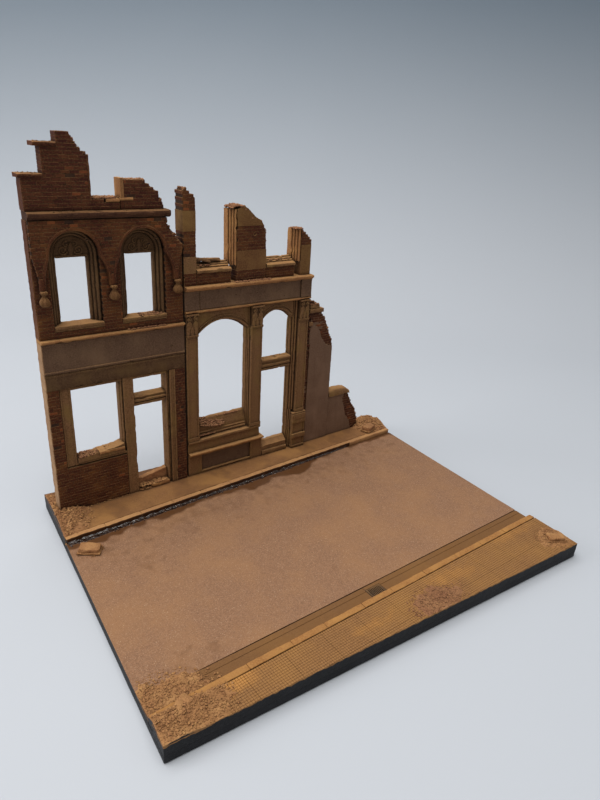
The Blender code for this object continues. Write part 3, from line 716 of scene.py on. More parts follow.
BROKEN = weathered("broken_masonry_paint", (112, 72, 52), (150, 102, 76), (164, 120, 88), grain=0.7,
                   edge=0.3, dust_and_top_light=0.4, varied=0.15, relief=0.25)
CRUST = weathered("broken_brick_paint", (76, 42, 26), (112, 68, 44), (136, 90, 62), grain=0.8,
                  varied=0.25, edge=0.4, dust_and_top_light=0.5, relief=0.25)
RUBBLE = weathered("rubble_paint", (124, 84, 52), (168, 120, 78), (186, 140, 92), grain=0.8, patch=8,
                   varied=0.16, edge=0.2, dust_and_top_light=0.3, wash_and_shade=0.6, relief=0.25)
KERB = weathered("kerb_paint", (140, 92, 48), (168, 119, 65), (180, 130, 66), edge=0.35, dust_and_top_light=0.3)
REAR_KERB = weathered("rear_kerb_paint", (156, 110, 70), (184, 138, 94), (194, 148, 96), edge=0.35,
                      dust_and_top_light=0.3)
# The front face of the rear kerb along the puddle: damp, and painted shade where the face turns away from the
# light.
DAMP_AND_SHADE = weathered("damp_and_shaded_kerb_paint", (44, 24, 13), (72, 42, 22), (90, 56, 30), edge=0.3, dust_and_top_light=0.3,
                 rough=0.45)
IRON = weathered("grate_paint", (34, 27, 22), (56, 44, 34), (92, 66, 40), edge=0.55, dust_and_top_light=0.25, rough=0.55)
TIMBER = weathered("timber_paint", (84, 58, 38), (128, 94, 62), (148, 112, 74), streak=0.5, edge=0.5,
                   dust_and_top_light=0.4)
END_PLASTER = weathered("cut_end_paint", (140, 106, 76), (164, 128, 94), (178, 142, 104), edge=0.35,
                        dust_and_top_light=0.3)


def street_paint(name, dark, base, light, stain_tone, grain=0.8, patch=30.0, rough=0.88, relief=0.1,
                 speckle=0.25):
    """Road or paving: fine sandy grain, broad tone changes, and stains where the surface says so."""
    paint = Paint(name)
    dark, base, light, stain_tone = srgb(*dark), srgb(*base), srgb(*light), srgb(*stain_tone)
    fine = paint.noise(grain, 5, 0.7)
    grit = paint.noise(grain * 0.6, 2, 0.5)
    broad = paint.noise(patch, 4, 0.6)
    colour = paint.mix(paint.ranged(fine, 0.38, 0.62), dark, base)
    colour = paint.mix(paint.ranged(broad, 0.42, 0.68, 0.0, 0.8), colour, light)
    colour = paint.mix(paint.ranged(grit, 0.62, 0.74, 0.0, speckle), colour, srgb(205, 178, 150))
    colour = paint.mix(paint.ranged(grit, 0.36, 0.27, 0.0, speckle), colour, srgb(92, 62, 44))
    mark = paint.node("ShaderNodeAttribute", attribute_name="stain").outputs["Fac"]
    feather = paint.maths("ADD", mark, paint.ranged(paint.noise(6, 5, 0.6), 0.3, 0.7, -0.22, 0.22))
    stained = paint.maths("MULTIPLY", paint.ranged(feather, 0.15, 0.85), 0.92)
    colour = paint.mix(stained, colour, stain_tone)
    # Darker where the surface is closed in: dirt in the joints, and painted shade in the hollows and corners.
    colour = paint.mix(paint.maths("MULTIPLY", paint.hollows(2.0), 0.5), colour, srgb(60, 38, 24))
    height = paint.maths("ADD", fine, paint.maths("MULTIPLY", grit, 0.6))
    shine = paint.ranged(feather, 0.4, 1.0, rough, rough - 0.45)
    paint.shader.inputs["Specular IOR Level"].default_value = 0.35
    return paint.finish(colour, height, relief, shine)


ROAD = street_paint("road_paint", (128, 94, 70), (154, 116, 87), (154, 114, 80), (86, 52, 22), speckle=0.7)
GUTTER = street_paint("gutter_paint", (104, 72, 44), (128, 92, 57), (132, 94, 52), (118, 80, 38),
                      relief=0.05, speckle=0.1)
PAVING = street_paint("paving_paint", (134, 95, 56), (154, 112, 68), (160, 116, 64), (184, 130, 66),
                      grain=1.1, relief=0.06, speckle=0.12)
REAR_PAVING = street_paint("rear_paving_paint", (128, 88, 52), (148, 105, 64), (156, 112, 62),
                           (110, 74, 44), relief=0.08, speckle=0.15)


def black_edge_paint():
    paint = Paint("black_edge_paint")
    broad = paint.noise(18, 4, 0.6)
    fine = paint.noise(0.8, 4, 0.6)
    colour = paint.mix(paint.ranged(broad, 0.35, 0.7), srgb(13, 13, 16), srgb(24, 25, 29))
    colour = paint.mix(paint.maths("MULTIPLY", paint.edges(0.6), 0.35), colour, srgb(64, 60, 58))
    height = paint.maths("ADD", paint.maths("MULTIPLY", broad, 3), fine)
    paint.shader.inputs["Specular IOR Level"].default_value = 0.25
    return paint.finish(colour, height, 0.2, paint.ranged(fine, 0.3, 0.7, 0.5, 0.7))


def wet_paint():
    paint = Paint("wet_varnish_paint")
    broad = paint.noise(2.6, 2, 0.5)
    fine = paint.noise(1.1, 3, 0.6)
    colour = paint.mix(paint.ranged(broad, 0.38, 0.66), srgb(24, 12, 6), srgb(58, 33, 15))
    height = paint.maths("ADD", broad, paint.maths("MULTIPLY", fine, 0.3))
    paint.shader.inputs["Coat Weight"].default_value = 1.0
    paint.shader.inputs["Coat Roughness"].default_value = 0.03
    return paint.finish(colour, height, 1.6, paint.ranged(fine, 0.3, 0.7, 0.04, 0.12))


BLACK = black_edge_paint()
WET = wet_paint()


# The street --------------------------------------------------------------------------------------------


def detail(node):
    return Shape(node + "_detail")


def part(node, place=WALL_LINE):
    """The shape that stands for a CAD node, and the node's limits along, behind and above a line."""
    shape = detail(node)
    shape.limits = span(node, place)
    return shape, *shape.limits


def profile(shape, foot, head, rear=0.2):
    """A moulding's section, from back to back. The points of foot are measured from the node's front and
    foot, those of head from its front and top, and rear is how far its back edge stands over the top."""
    _, (front, back), (low, top) = shape.limits
    lower = [(front + out, low + up) for out, up in foot]
    upper = [(front + out, top + up) for out, up in head]
    return [(back, lower[0][1])] + lower + upper + [(back, top + rear)]


def close(shape, paints, place=WALL_LINE, smooth=35):
    """Finishes a piece that is named for the CAD node it stands for."""
    return finish(shape, paints, [shape.name.removesuffix("_detail")], place, smooth)


def blacken_ends(obj, index):
    """Paints black what lies on the board's sides."""
    for face in obj.data.polygons:
        centre = obj.matrix_world @ face.center / MM
        if abs(centre.x) > HALF_WIDTH - 0.7 and abs(face.normal.x) > 0.6 and centre.z < PAVEMENT_TOP - 0.7:
            face.material_index = index


def road_level(x, y):
    return ROAD_TOP + 0.16 * ripple(x, y, 34) + 0.06 * ripple(x, y, 2.4, 5)


RUST_MARKS = ((-112, 12, 26, 20), (-112, -74, 34, 18), (40, 56, 40, 10))


def paving_level(x, y):
    return PAVEMENT_TOP + 0.14 * ripple(x, y, 40, 9) + 0.05 * ripple(x, y, 1.6, 3)


def from_rear_kerb(x, y):
    return REAR_KERB_LINE.inverted() @ Vector((x * MM, y * MM, 0)) / MM


def road_stain(x, y):
    """Brown damp along the rear kerb, wider toward the left, and faint rust marks."""
    spot = from_rear_kerb(x, y)
    width = 11 + 7 * ripple(x, y, 24, 11) + 3 * ripple(x, y, 7, 12) - 7 * smooth_step((spot.x - 30) / 70)
    damp = max(smooth_step((width + spot.y) / 4), 0.22 * smooth_step(1.2 + spot.y / 50))
    rust = max(smooth_step(1 - math.hypot((x - u) / a, (y - v) / b)) for u, v, a, b in RUST_MARKS)
    return max(damp, 0.28 * rust)


def paving_stain(x, y):
    """Yellow rust stains on the front pavement."""
    marks = ((-108, -99, 26, 13, 1.0), (46, -96, 44, 12, 0.5), (116, -84, 40, 9, 0.55),
             (-20, -104, 30, 8, 0.4))
    return max(c * smooth_step(1 - math.hypot((x - u) / a, (y - v) / b)) for u, v, a, b, c in marks)


def make_board():
    node = "base_board"
    shape, x, y, z = part(node, WORLD)
    worn_block(shape, x, y, (z[0], z[1] + 0.1), radius=0.5, step=6, rough=0.1, scale=0.08)
    close(shape, [BLACK], WORLD, 50)


def make_road():
    rear, front = math.radians(REAR_KERB_TURN), math.radians(FRONT_KERB_TURN)
    rear_end, front_end = (0, 68.6, 0), (0, -73.5, 0)
    cuts = (
        (rear_end, (-math.sin(rear), math.cos(rear), 0)),
        (front_end, (math.sin(front), -math.cos(front), 0)),
    )
    ground("road_slab_detail", plain(-151, 151, 1.5), plain(-86, 86, 1.5), road_level, [ROAD, BLACK],
           ["road_slab"], cuts=cuts, stain=road_stain)


def make_gutter():
    """The strip along the front kerb, with two scored lines and a pit where the grate lies."""
    length, start, end = 5.95, 0.45, 9.75
    near_line = [(2.2, 0), (2.4, 0.3), (2.6, 0)]
    far_line = [(8.2, 0), (8.4, 0.3), (8.6, 0)]

    def level(x, y):
        spot = FRONT_KERB_LINE.inverted() @ Vector((x * MM, y * MM, 0)) / MM
        inside = abs(spot.x) < length and start < spot.y < end
        return ROAD_TOP - 2.0 if inside else ROAD_TOP - 0.1 + 0.05 * ripple(x, y, 20)

    along = plain(-152, -6, 2) + [(-length + 0.01, 0)] + plain(-5, 5, 2.5)
    along += [(length - 0.01, 0)] + plain(6, 152, 2)
    across = [(0.25, 0), (start, 0), (start + 0.01, 0)] + near_line + plain(4, 7, 1.5) + far_line
    across += [(end - 0.01, 0), (end, 0), (12.1, 0.05)]
    ground("gutter_strip_detail", along, across, level, [GUTTER, BLACK], ["gutter_strip"],
           FRONT_KERB_LINE, stain=lambda x, y: 0.5 + 0.5 * ripple(x, y, 28, 2))


def make_grate():
    shape = detail("drain_grate")
    half, near, far, top = 5.7, 0.7, 9.5, ROAD_TOP
    rails = (((-half, half), (near, near + 0.9)), ((-half, half), (far - 0.9, far)),
             ((-half, -half + 0.8), (near, far)), ((half - 0.8, half), (near, far)))
    for x, y in rails:
        worn_block(shape, x, y, (top - 1.5, top + 0.05), radius=0.25, step=1.5, rough=0.08)
    bars, margin = 9, 1.2
    for i in range(bars):
        x = -half + margin + (2 * half - 2 * margin) * i / (bars - 1)
        worn_block(shape, (x - 0.33, x + 0.33), (near + 0.5, far - 0.5), (top - 1.4, top - 0.05),
                   radius=0.2, step=1.5, rough=0.08)
    floor = ((-half + 0.4, half - 0.4), (near + 0.4, far - 0.4), (top - 1.9, top - 1.5))
    worn_block(shape, *floor, step=2)
    close(shape, [IRON], FRONT_KERB_LINE)


def make_kerbs():
    shortest_stone = 8
    for node, place, depth, lift, paint in (
        ("front_kerb", FRONT_KERB_LINE, (-4.25, 0.0), 0.25, KERB),
        ("rear_kerb", REAR_KERB_LINE, (0.0, 4.25), 0.05, REAR_KERB),
    ):
        shape = detail(node)
        dice = shape.dice
        start, end = -150.2, 150.2
        while start < end - 4:
            stop = min(end, start + dice.uniform(23, 31))
            if end - stop < shortest_stone:
                stop = end
            top = PAVEMENT_TOP + lift + dice.uniform(-0.05, 0.05)
            box = ((start - 0.02, stop + 0.02), depth, (BOARD_TOP, top))
            worn_block(shape, *box, radius=0.5, step=1.4, rough=0.22, scale=0.25)
            start = stop
        made = close(shape, [paint, BLACK, DAMP_AND_SHADE], place, 50)
        if node == "rear_kerb":
            # The front faces along the puddle take the damp paint, which also paints their shade.
            for face in made.data.polygons:
                if face.normal.y < -0.6 and face.center.x < 0.1:
                    face.material_index = 2
        blacken_ends(made, 1)


def make_pavements():
    ground("front_pavement_detail", squares(-152, 152, 1.55, 16), squares(-45, -4.35, 1.55, 13),
           paving_level, [PAVING, BLACK], ["front_pavement"], FRONT_KERB_LINE,
           stain=paving_stain)

    def rear_level(x, y):
        behind = smooth_step((from_rear_kerb(x, y).y - 30) / 6)
        return paving_level(x, y) + behind * (0.5 * ripple(x, y, 9, 4) + 0.3 * ripple(x, y, 2.5, 6))

    def rear_stain(x, y):
        trodden = 0.5 * smooth_step(0.45 + 1.6 * ripple(x, y, 17, 7))
        return max(trodden, 0.8 * smooth_step((from_rear_kerb(x, y).y - 19) / 12))

    ground("rear_pavement_detail", plain(-152, 152, 1.3), plain(4.4, 64, 1.3), rear_level,
           [REAR_PAVING, BLACK], ["rear_pavement"], REAR_KERB_LINE, stain=rear_stain)


PUDDLE_WIDTHS = ((-150, 3.0), (-138, 4.2), (-110, 3.2), (-60, 2.4), (-20, 2.8), (20, 2.6), (60, 1.8),
                 (97, 0.3))


def puddle_width(u):
    for (u0, w0), (u1, w1) in zip(PUDDLE_WIDTHS, PUDDLE_WIDTHS[1:]):
        if u <= u1:
            width = w0 + (w1 - w0) * (u - u0) / (u1 - u0)
            return width * (1 + 0.4 * noise.noise(Vector((u / 7, 3, 0))))
    return PUDDLE_WIDTHS[-1][1]


def make_puddle():
    """The wet gutter: varnish that lies along the rear kerb and creeps up its foot."""
    shape = Shape("wet_puddle")
    rings = []
    count = 10
    for u in stations(-149.6, 96.5, 0.9):
        width = puddle_width(u)
        top = []
        for i in range(count + 1):
            v = 0.1 - width * i / count
            spot = REAR_KERB_LINE @ Vector((u * MM, v * MM, 0)) / MM
            climb = 0.9 * smooth_step(1 + v / 0.9) * (0.8 + 0.7 * ripple(u, 0, 4, 4))
            skin = 0.2 * math.sqrt(max(0.0, 1 - (i / count) ** 2)) - 0.03
            wave = 0.25 * ripple(spot.x, spot.y, 2.6, 8) * (1 - i / count)
            top.append((u, v, road_level(spot.x, spot.y) + skin + climb + wave))
        rings.append(top + [(u, -width, ROAD_TOP - 0.7), (u, 0.1, ROAD_TOP - 0.7)])
    loft(shape, rings)
    for _ in range(150):
        u = shape.dice.uniform(-149, 60)
        v = -puddle_width(u) * shape.dice.uniform(0.1, 1.3)
        chunk(shape, u, v, ROAD_TOP + 0.15, shape.dice.uniform(0.25, 0.6), flat=0.5)
    finish(shape, [WET], place=REAR_KERB_LINE, smooth=80)


# Rubble ------------------------------------------------------------------------------------------------


def heap(name, centre, radii, rise, base, count, size, nodes, step=0.9, paint=None):
    """A low mound of earth and broken masonry, as a sheet that dips under the street round its rim, and the
    lumps that lie on it."""
    (x, y), (a, b) = centre, radii

    def level(u, v):
        away = math.hypot((u - x) / a, (v - y) / b) + 0.22 * ripple(u, v, 11, 1) + 0.1 * ripple(u, v, 4, 2)
        lump = 0.7 * ripple(u, v, 3.1, 7) + 0.5 * ripple(u, v, 1.2, 8)
        share = smooth_step(1.25 - 1.1 * away)
        return base(u, v) - 0.55 + (rise + 0.55 + lump) * share

    paint = paint or RUBBLE
    ground(name, plain(x - a * 1.3, x + a * 1.3, step), plain(y - b * 1.3, y + b * 1.3, step), level,
           [paint, BLACK], nodes, bottom=BOARD_TOP + 1.5, inset=0.04)
    lumps = Shape(name + "_lumps")
    dice = lumps.dice
    placed = 0
    while placed < count:
        u, v = dice.uniform(x - a, x + a), dice.uniform(y - b, y + b)
        away = math.hypot((u - x) / a, (v - y) / b)
        if dice.random() < away ** 2 * 0.9 or abs(u) > HALF_WIDTH - 0.5 or abs(v) > HALF_DEPTH - 0.5:
            continue
        placed += 1
        big = size * dice.choice((0.25, 0.3, 0.35, 0.4, 0.5, 0.6, 1.0))
        chunk(lumps, u, v, max(level(u, v), base(u, v)) + big * 0.1, big)
    finish(lumps, [paint], place=WORLD)


def make_heaps():
    def corner_base(x, y):
        kerb = FRONT_KERB_Y + x * math.tan(math.radians(FRONT_KERB_TURN))
        return ROAD_TOP + (PAVEMENT_TOP - ROAD_TOP) * smooth_step((kerb + 2 - y) / 7)

    def paved(x, y):
        return PAVEMENT_TOP if y < 0 or from_rear_kerb(x, y).y > 3 else ROAD_TOP - 1

    heap("rubble_front_left_detail", (-141, -101), (33, 29), 1.7, corner_base, 2600, 0.85,
         ["rubble_front_left"])
    heap("rubble_front_right_detail", (141, -103), (15, 13), 1.3, paved, 520, 0.8, ["rubble_front_right"])
    heap("rubble_rear_left_detail", (-147, 85), (22, 31), 3.6, paved, 1300, 1.15, ["rubble_rear_left"])
    heap("rubble_rear_right_detail", (141, 103), (21, 20), 4.2, paved, 900, 1.1, ["rubble_rear_right"])
    heap("paving_rubble", (24, -108), (24, 13), 0.7, paved, 1300, 0.65, [], step=0.7, paint=BROKEN)


def make_stones():
    for node, where, level, size, turn in (
        ("stone_block_road", (-138.6, 39.5), ROAD_TOP + 0.1, (13.2, 8.2, 4.3), -30),
        ("stone_block_front_right", (139.4, -105.0), PAVEMENT_TOP + 0.2, (11.6, 7.0, 3.8), -26),
        ("stone_block_rear_right", (130.5, 90.7), PAVEMENT_TOP + 0.2, (11.8, 8.0, 5.0), 24),
    ):
        shape = detail(node)
        length, width, height = size
        place = Matrix.Translation((*where, level)) @ Matrix.Rotation(math.radians(turn), 4, "Z")
        box = ((-length / 2, length / 2), (-width / 2, width / 2), (0, height))
        worn_block(shape, *box, radius=1.1, step=0.8, rough=0.45, scale=0.4, place=place)
        ledge = ((-length / 2 - 0.6, length / 2 + 0.6), (-width / 2 - 0.5, width / 2 + 0.5),
                 (0, height * 0.35))
        worn_block(shape, *ledge, radius=0.6, step=0.8, rough=0.5, place=place)
        for _ in range(26):
            t = shape.dice.uniform(0, math.tau)
            foot = (where[0] + math.cos(t) * length * 0.62, where[1] + math.sin(t) * width * 0.75)
            chunk(shape, *foot, level + 0.1, shape.dice.uniform(0.3, 0.8))
        close(shape, [RUBBLE], WORLD, 40)
    flat = Shape("flat_stone")
    tilt = Euler((0.05, -0.08, 0.5)).to_matrix().to_4x4()
    place = Matrix.Translation((-134, -100, PAVEMENT_TOP + 0.9)) @ tilt
    worn_block(flat, (-4.6, 4.6), (-3.4, 3.4), (-0.6, 1.1), radius=0.8, step=0.7, rough=0.7, place=place)
    finish(flat, [RUBBLE], place=WORLD)


# The left building -------------------------------------------------------------------------------------


def strip(node, foot, head, rear=0.2, amount=0.2, chip=0.6):
    """A piece that is one moulding from end to end of its node."""
    shape, (start, end), _, _ = part(node)
    moulding(shape, profile(shape, foot, head, rear), start, end, amount=amount, chip=chip)
    return shape


def bead(depth, low, high, back, out=0.35):
    """The section of a flat board with a rounded lip along its top and foot."""
    return [(back, low), (depth + 0.2, low), (depth - out, low + 0.35), (depth - out, low + 1.0),
            (depth, low + 1.5), (depth, high - 1.5), (depth - out, high - 1.0),
            (depth - out, high - 0.35), (depth + 0.2, high), (back, high)]


def board_plan(left, right, front, back, step=0.45):
    """The plan of an upright board with a sunk line near each edge."""
    edge = min(1.1, (right - left) / 4)
    return [(left, back), (left, front + 0.25), (left + 0.25, front), (left + edge, front),
            (left + edge + 0.2, front + step), (right - edge - 0.2, front + step), (right - edge, front),
            (right - 0.25, front), (right, front + 0.25), (right, back)]


def cut_end(shape, x, depth, height, tag):
    """The skin of raw plaster over the end of the wall."""
    front, back = depth
    low, high = height
    plan = [(x - 0.35, front + 0.1), (x - 0.35, back - 0.1), (x + 0.2, back), (x + 0.2, front)]
    upright(shape, plan, low, high, tag, amount=0.25, chip=0.2, step=1.4)


def make_left_ground_floor():
    shape, (start, post), (front, back), (foot, top) = part("left_shop_brickwork")
    (frame_left, _), _, (frame_low, _) = span("left_shop_window_frame")
    pier = [(start, foot), (post, foot), (post, frame_low - 0.2), (frame_left - 0.2, frame_low - 0.2),
            (frame_left - 0.2, top), (start, top)]
    brickwork(shape, [pier], (front, back), length=5.2, proud=0.1)
    cut_end(shape, start, (front, back), (foot, top), 2)
    debris(shape, (start, post), (-1.0, 0), foot, 60, 0.7, 3)
    close(shape, [BRICK, MORTAR, END_PLASTER, RUBBLE])

    shape, (start, end), (front, back), (foot, top) = part("left_shop_end_pier")
    strip = start + 4.4
    upright(shape, board_plan(start, strip, front - 0.2, back), foot, top, 1, chip=0.6)
    outline = [(strip, foot), (end, foot), (end, top), (strip, top)]
    brickwork(shape, [outline], (front + 0.1, back), course=2.1, length=2.7, tag=0, mortar=2, proud=0.11)
    close(shape, [RED_BRICK, OLIVE, MORTAR])

    shape, (left, right), (front, back), (low, top) = part("left_shop_window_frame")
    (sill_left, sill_right), _, _ = span("left_shop_window_sill")
    hole_left, hole_right, head = sill_left - 0.3, sill_right + 0.3, top - 2.1
    upright(shape, board_plan(left, hole_left, front - 0.5, back), low, top, chip=0.5)
    moulding(shape, bead(front - 0.3, head, top, back, 0.1), hole_left, right, chip=0.3)
    moulding(shape, [(back, low), (front - 0.6, low), (front - 0.9, low + 0.5), (front - 0.6, low + 1.7),
                     (back, low + 1.7)], hole_left, right, chip=0.8)
    upright(shape, board_plan(hole_right, right, front, back, 0.2), low, top)
    inner = dense([(hole_right, low + 3), (hole_right, head), (hole_left, head), (hole_left, low + 3)], 2)
    surround(shape, inner, [(-0.7, back - 1), (-0.7, 3.4), (-0.1, 3.0), (0.1, back - 1)], chip=0.6)
    close(shape, [OLIVE])

    shape, (left, right), (front, back), (low, top) = part("left_shop_window_sill")
    middle = left + (right - left) * 0.42
    outline = [(left, low, 0), (right, low, 0), (right, top + 1.6, 0.3), (right - 5, top + 0.3, 0.5),
               (middle, top - 1.2, 0.9), (left + 8, top - 1.6, 0.9), (left, top - 2.2, 0.6)]
    torn_plate(shape, outline, (front + 0.4, back), layers=7)
    slab = [(back, low + 2.6), (front - 0.3, low + 2.4), (front - 0.6, low + 3.2),
            (front - 0.3, low + 4.2), (back, low + 4.4)]
    moulding(shape, slab, middle + 1, right - 0.2, 1, amount=0.3, chip=1.0)
    debris(shape, (left + 0.5, middle + 3), (front + 0.6, back - 1), low + 3.2, 90, 1.7, 2)
    debris(shape, (middle, right), (2, back - 1), top - 0.6, 20, 0.9, 2)
    close(shape, [OLIVE, OCHRE, BROKEN])

    make_left_door()

    shape, (start, end), (front, back), (low, top) = part("left_shop_lintel")
    section = profile(shape, [(0.3, -0.2), (0, 0.3), (0.15, 5)],
                      [(0, -2.2), (-0.25, -1.9), (-0.25, -1.2), (0.1, -0.9), (0.1, 0.1)], 0.1)
    moulding(shape, section, start, end, chip=0.6)
    cut_end(shape, start, (front, back), (low, top), 1)
    close(shape, [LINTEL, END_PLASTER])

    shape, (start, end), (front, back), (low, top) = part("left_fascia_board")
    section = profile(shape, [(-0.1, 0), (-0.35, 0.3), (-0.35, 1.1), (0, 1.4), (0.1, 6), (0, 12)],
                      [(0, -1.6), (-0.3, -1.2), (-0.3, 0)], 0)
    moulding(shape, section, start, end, chip=0.25, amount=0.16)
    for _ in range(9):
        a, z = shape.dice.uniform(start + 8, end - 4), shape.dice.uniform(low + 4, top - 3)
        pock(shape, a, front + 0.05, z, shape.dice.uniform(0.35, 0.7), 2)
    cut_end(shape, start, (front, back), (low, top), 1)
    close(shape, [GREY, END_PLASTER, MORTAR])

    shape, (start, end), _, _ = part("left_fascia_ledge")
    section = profile(shape, [(1.6, -0.2), (0.9, 0.4), (0.1, 0.9)], [(0, -0.7), (0.3, -0.1), (1.4, 0.15)],
                      0.1)
    moulding(shape, section, start - 0.2, end, chip=0.5, amount=0.18)
    close(shape, [OCHRE])


def pock(shape, a, d, z, radius, tag):
    """A small chipped hole in a wall, as a dark dish whose rim is just proud of it."""
    steps = 9
    turns = [math.tau * i / steps for i in range(steps)]
    rim = [(a + radius * math.cos(t), d - 0.12, z + radius * math.sin(t)) for t in turns]
    floor = [(a + 0.5 * (x - a), d + 0.4, z + 0.5 * (h - z)) for x, _, h in rim]
    base = [(x, d + 0.6, h) for x, _, h in rim]
    loft(shape, [floor, rim, base], tag)


def make_left_door():
    shape, (left, right), (front, back), (foot, top) = part("left_shop_door_frame")
    (sill_left, sill_right), _, _ = span("left_shop_threshold")
    hole_left, hole_right = sill_left - 0.3, sill_right + 0.3
    bar_low, bar_high, head = 79.0, 86.6, top - 2.1
    upright(shape, board_plan(left, hole_left, front - 0.3, back, 0.2), foot, top, chip=0.5)
    upright(shape, board_plan(hole_right, right, front + 0.2, back), foot, top, chip=0.5)
    moulding(shape, bead(front, head, top, back, 0.1), hole_left, hole_right, chip=0.3)
    bar = [(back - 0.4, bar_low), (2.6, bar_low), (1.6, bar_low + 0.5), (1.5, bar_low + 2.2),
           (2.3, bar_low + 2.6), (1.2, bar_low + 3.4), (1.1, bar_low + 4.6), (2.4, bar_low + 5.0),
           (2.2, bar_high - 1.0), (3.4, bar_high - 0.2), (back - 0.4, bar_high)]
    moulding(shape, bar, hole_left, hole_right, chip=0.7, amount=0.2)
    width = 2.4
    jamb = [(hole_right - (width - out) + 2.2, d) for out, d in reeds(width, 5.0, 1.9, 3, back - 0.3)]
    for low, high in ((foot, bar_low), (bar_high, head)):
        upright(shape, jamb, low, high, chip=0.7)
    close(shape, [OLIVE])

    shape, (left, right), (front, back), (foot, top) = part("left_shop_threshold")
    outline = [(left, foot, 0), (right, foot, 0), (right, top + 2.6, 0.6), (left + 14, top + 0.6, 0.8),
               (left + 5, top - 1.2, 0.8), (left, top - 0.6, 0.6)]
    torn_plate(shape, outline, (4.6, back), 0, 6)
    step = [(5.0, foot), (front, foot), (front - 0.3, foot + 1.4), (front, foot + 2.8), (5.0, foot + 3.2)]
    moulding(shape, step, left + 9, right, 1, amount=0.3, chip=1.0)
    debris(shape, (left + 0.5, right - 1), (0.2, 5.0), foot + 3.0, 110, 1.6, 0)
    debris(shape, (left + 0.5, left + 9), (-0.6, 3.0), foot + 0.5, 50, 1.3, 0)
    close(shape, [RUBBLE, OCHRE])


def taper(z, foot, spring, full, slim):
    """The half width of the proud brickwork, which narrows in a curve from the arch down to its corbel."""
    share = max(0.0, min(1.0, (z - foot) / (spring - foot)))
    return slim + (full - slim) * max(0.0, (share - 0.25) / 0.75) ** 1.7


ARCH_RADIUS = 15.3
ARCH_SPRING = 186.0
ARCH_CENTRES = (-121.0, -77.8)
BAND_FOOT = 166.9


def band_edge(pier, full, side):
    """The side of the proud brickwork above a corbel, from the foot up to the arch."""
    heights = stations(BAND_FOOT, ARCH_SPRING, 1.6)
    return [(pier + side * taper(z, BAND_FOOT, ARCH_SPRING, full, 1.7), z) for z in heights]


def make_left_upper_floor():
    (start, end), (front, back), (low, top) = span("left_upper_wall")
    shape = detail("left_upper_wall")
    broken = [(end, 189.0), (-54.0, 193.5), (-57.4, 197.8), (-60.7, 202.3), (-60.4, top)]
    wall = [(start, low), (end, low)] + broken + [(start, top)]
    recess_low = 140.1
    recesses = []
    for centre in ARCH_CENTRES:
        head = arc(centre, ARCH_SPRING, ARCH_RADIUS, 0, 180, 20)
        recesses.append([(centre - ARCH_RADIUS, recess_low), (centre + ARCH_RADIUS, recess_low)] + head)

    def torn(x, z):
        return 0.5 if x > -62.5 and z > 188 else 0

    brickwork(shape, [wall] + recesses, (front, back), length=5.4, proud=0.09, ragged=torn)
    cut_end(shape, start, (front, back), (low, top), 0)
    crust(shape, [(x - 0.9, z) for x, z in broken], (front - 2.2, back), 1.8, 2)
    close(shape, [BRICK, MORTAR, CRUST])

    shape = detail("brick_arch_band")
    left, middle, right = [sum(span(f"corbel_{side}")[0]) / 2 for side in ("left", "middle", "right")]
    edges = [c + s * ARCH_RADIUS for c in ARCH_CENTRES for s in (-1, 1)]
    outline = [(start, top), (start, ARCH_SPRING - 6)]
    outline += [(max(start, x), z) for x, z in reversed(band_edge(left, left - start, -1))]
    outline += band_edge(left, edges[0] - left, 1)
    outline += arc(ARCH_CENTRES[0], ARCH_SPRING, ARCH_RADIUS, 180, 0, 20)
    outline += list(reversed(band_edge(middle, middle - edges[1], -1)))
    outline += band_edge(middle, edges[2] - middle, 1)
    outline += arc(ARCH_CENTRES[1], ARCH_SPRING, ARCH_RADIUS, 180, 0, 20)
    outline += list(reversed(band_edge(right, right - edges[3], -1)))
    outline += band_edge(right, end - right - 0.4, 1)
    outline += [(x - 0.4, z) for x, z in broken]
    brickwork(shape, [outline], (-2.4, -0.1), length=5.0, ragged=torn)
    roll = [(-0.5, 0.0), (-0.5, -2.3), (-0.1, -2.9), (0.7, -3.0), (1.3, -2.6), (1.4, 0.0)]
    for centre, near, far in ((ARCH_CENTRES[0], left, middle), (ARCH_CENTRES[1], middle, right)):
        spring_left, spring_right = centre - ARCH_RADIUS, centre + ARCH_RADIUS
        path = band_edge(far, far - spring_right, -1)
        path += arc(centre, ARCH_SPRING, ARCH_RADIUS, 0, 180, 26)[1:-1]
        path += list(reversed(band_edge(near, spring_left - near, 1)))
        surround(shape, path, roll, amount=0.14, chip=0.5)
    for _ in range(10):
        a, z = shape.dice.uniform(start + 4, end - 8), shape.dice.uniform(190, 203)
        pock(shape, a, -2.5, z, shape.dice.uniform(0.5, 1.0), 1)
    close(shape, [BRICK, MORTAR])

    for side, centre in zip(("left", "right"), ARCH_CENTRES):
        make_arched_window(side, centre)
    make_corbels()

    shape, (start, end), (front, back), (low, top) = part("upper_cornice")
    section = profile(shape, [(2.6, -0.2), (2.2, 0.5), (1.5, 0.7), (1.2, 1.3), (0.3, 1.9), (0, 2.9),
                              (0.3, 3.9)], [(1.1, -0.3), (2.2, 0)])
    moulding(shape, section, start - 0.5, end - 1.4, amount=0.2, chip=0.6)
    middle = (front + 2.2 + front) / 2
    worn_block(shape, (end - 2.6, end), (front + 0.2, back), (low, top), radius=1.5, step=0.9, rough=0.3)
    debris(shape, (start + 10, end - 2), (middle, 0), top - 0.1, 50, 0.55)
    close(shape, [CORNICE])


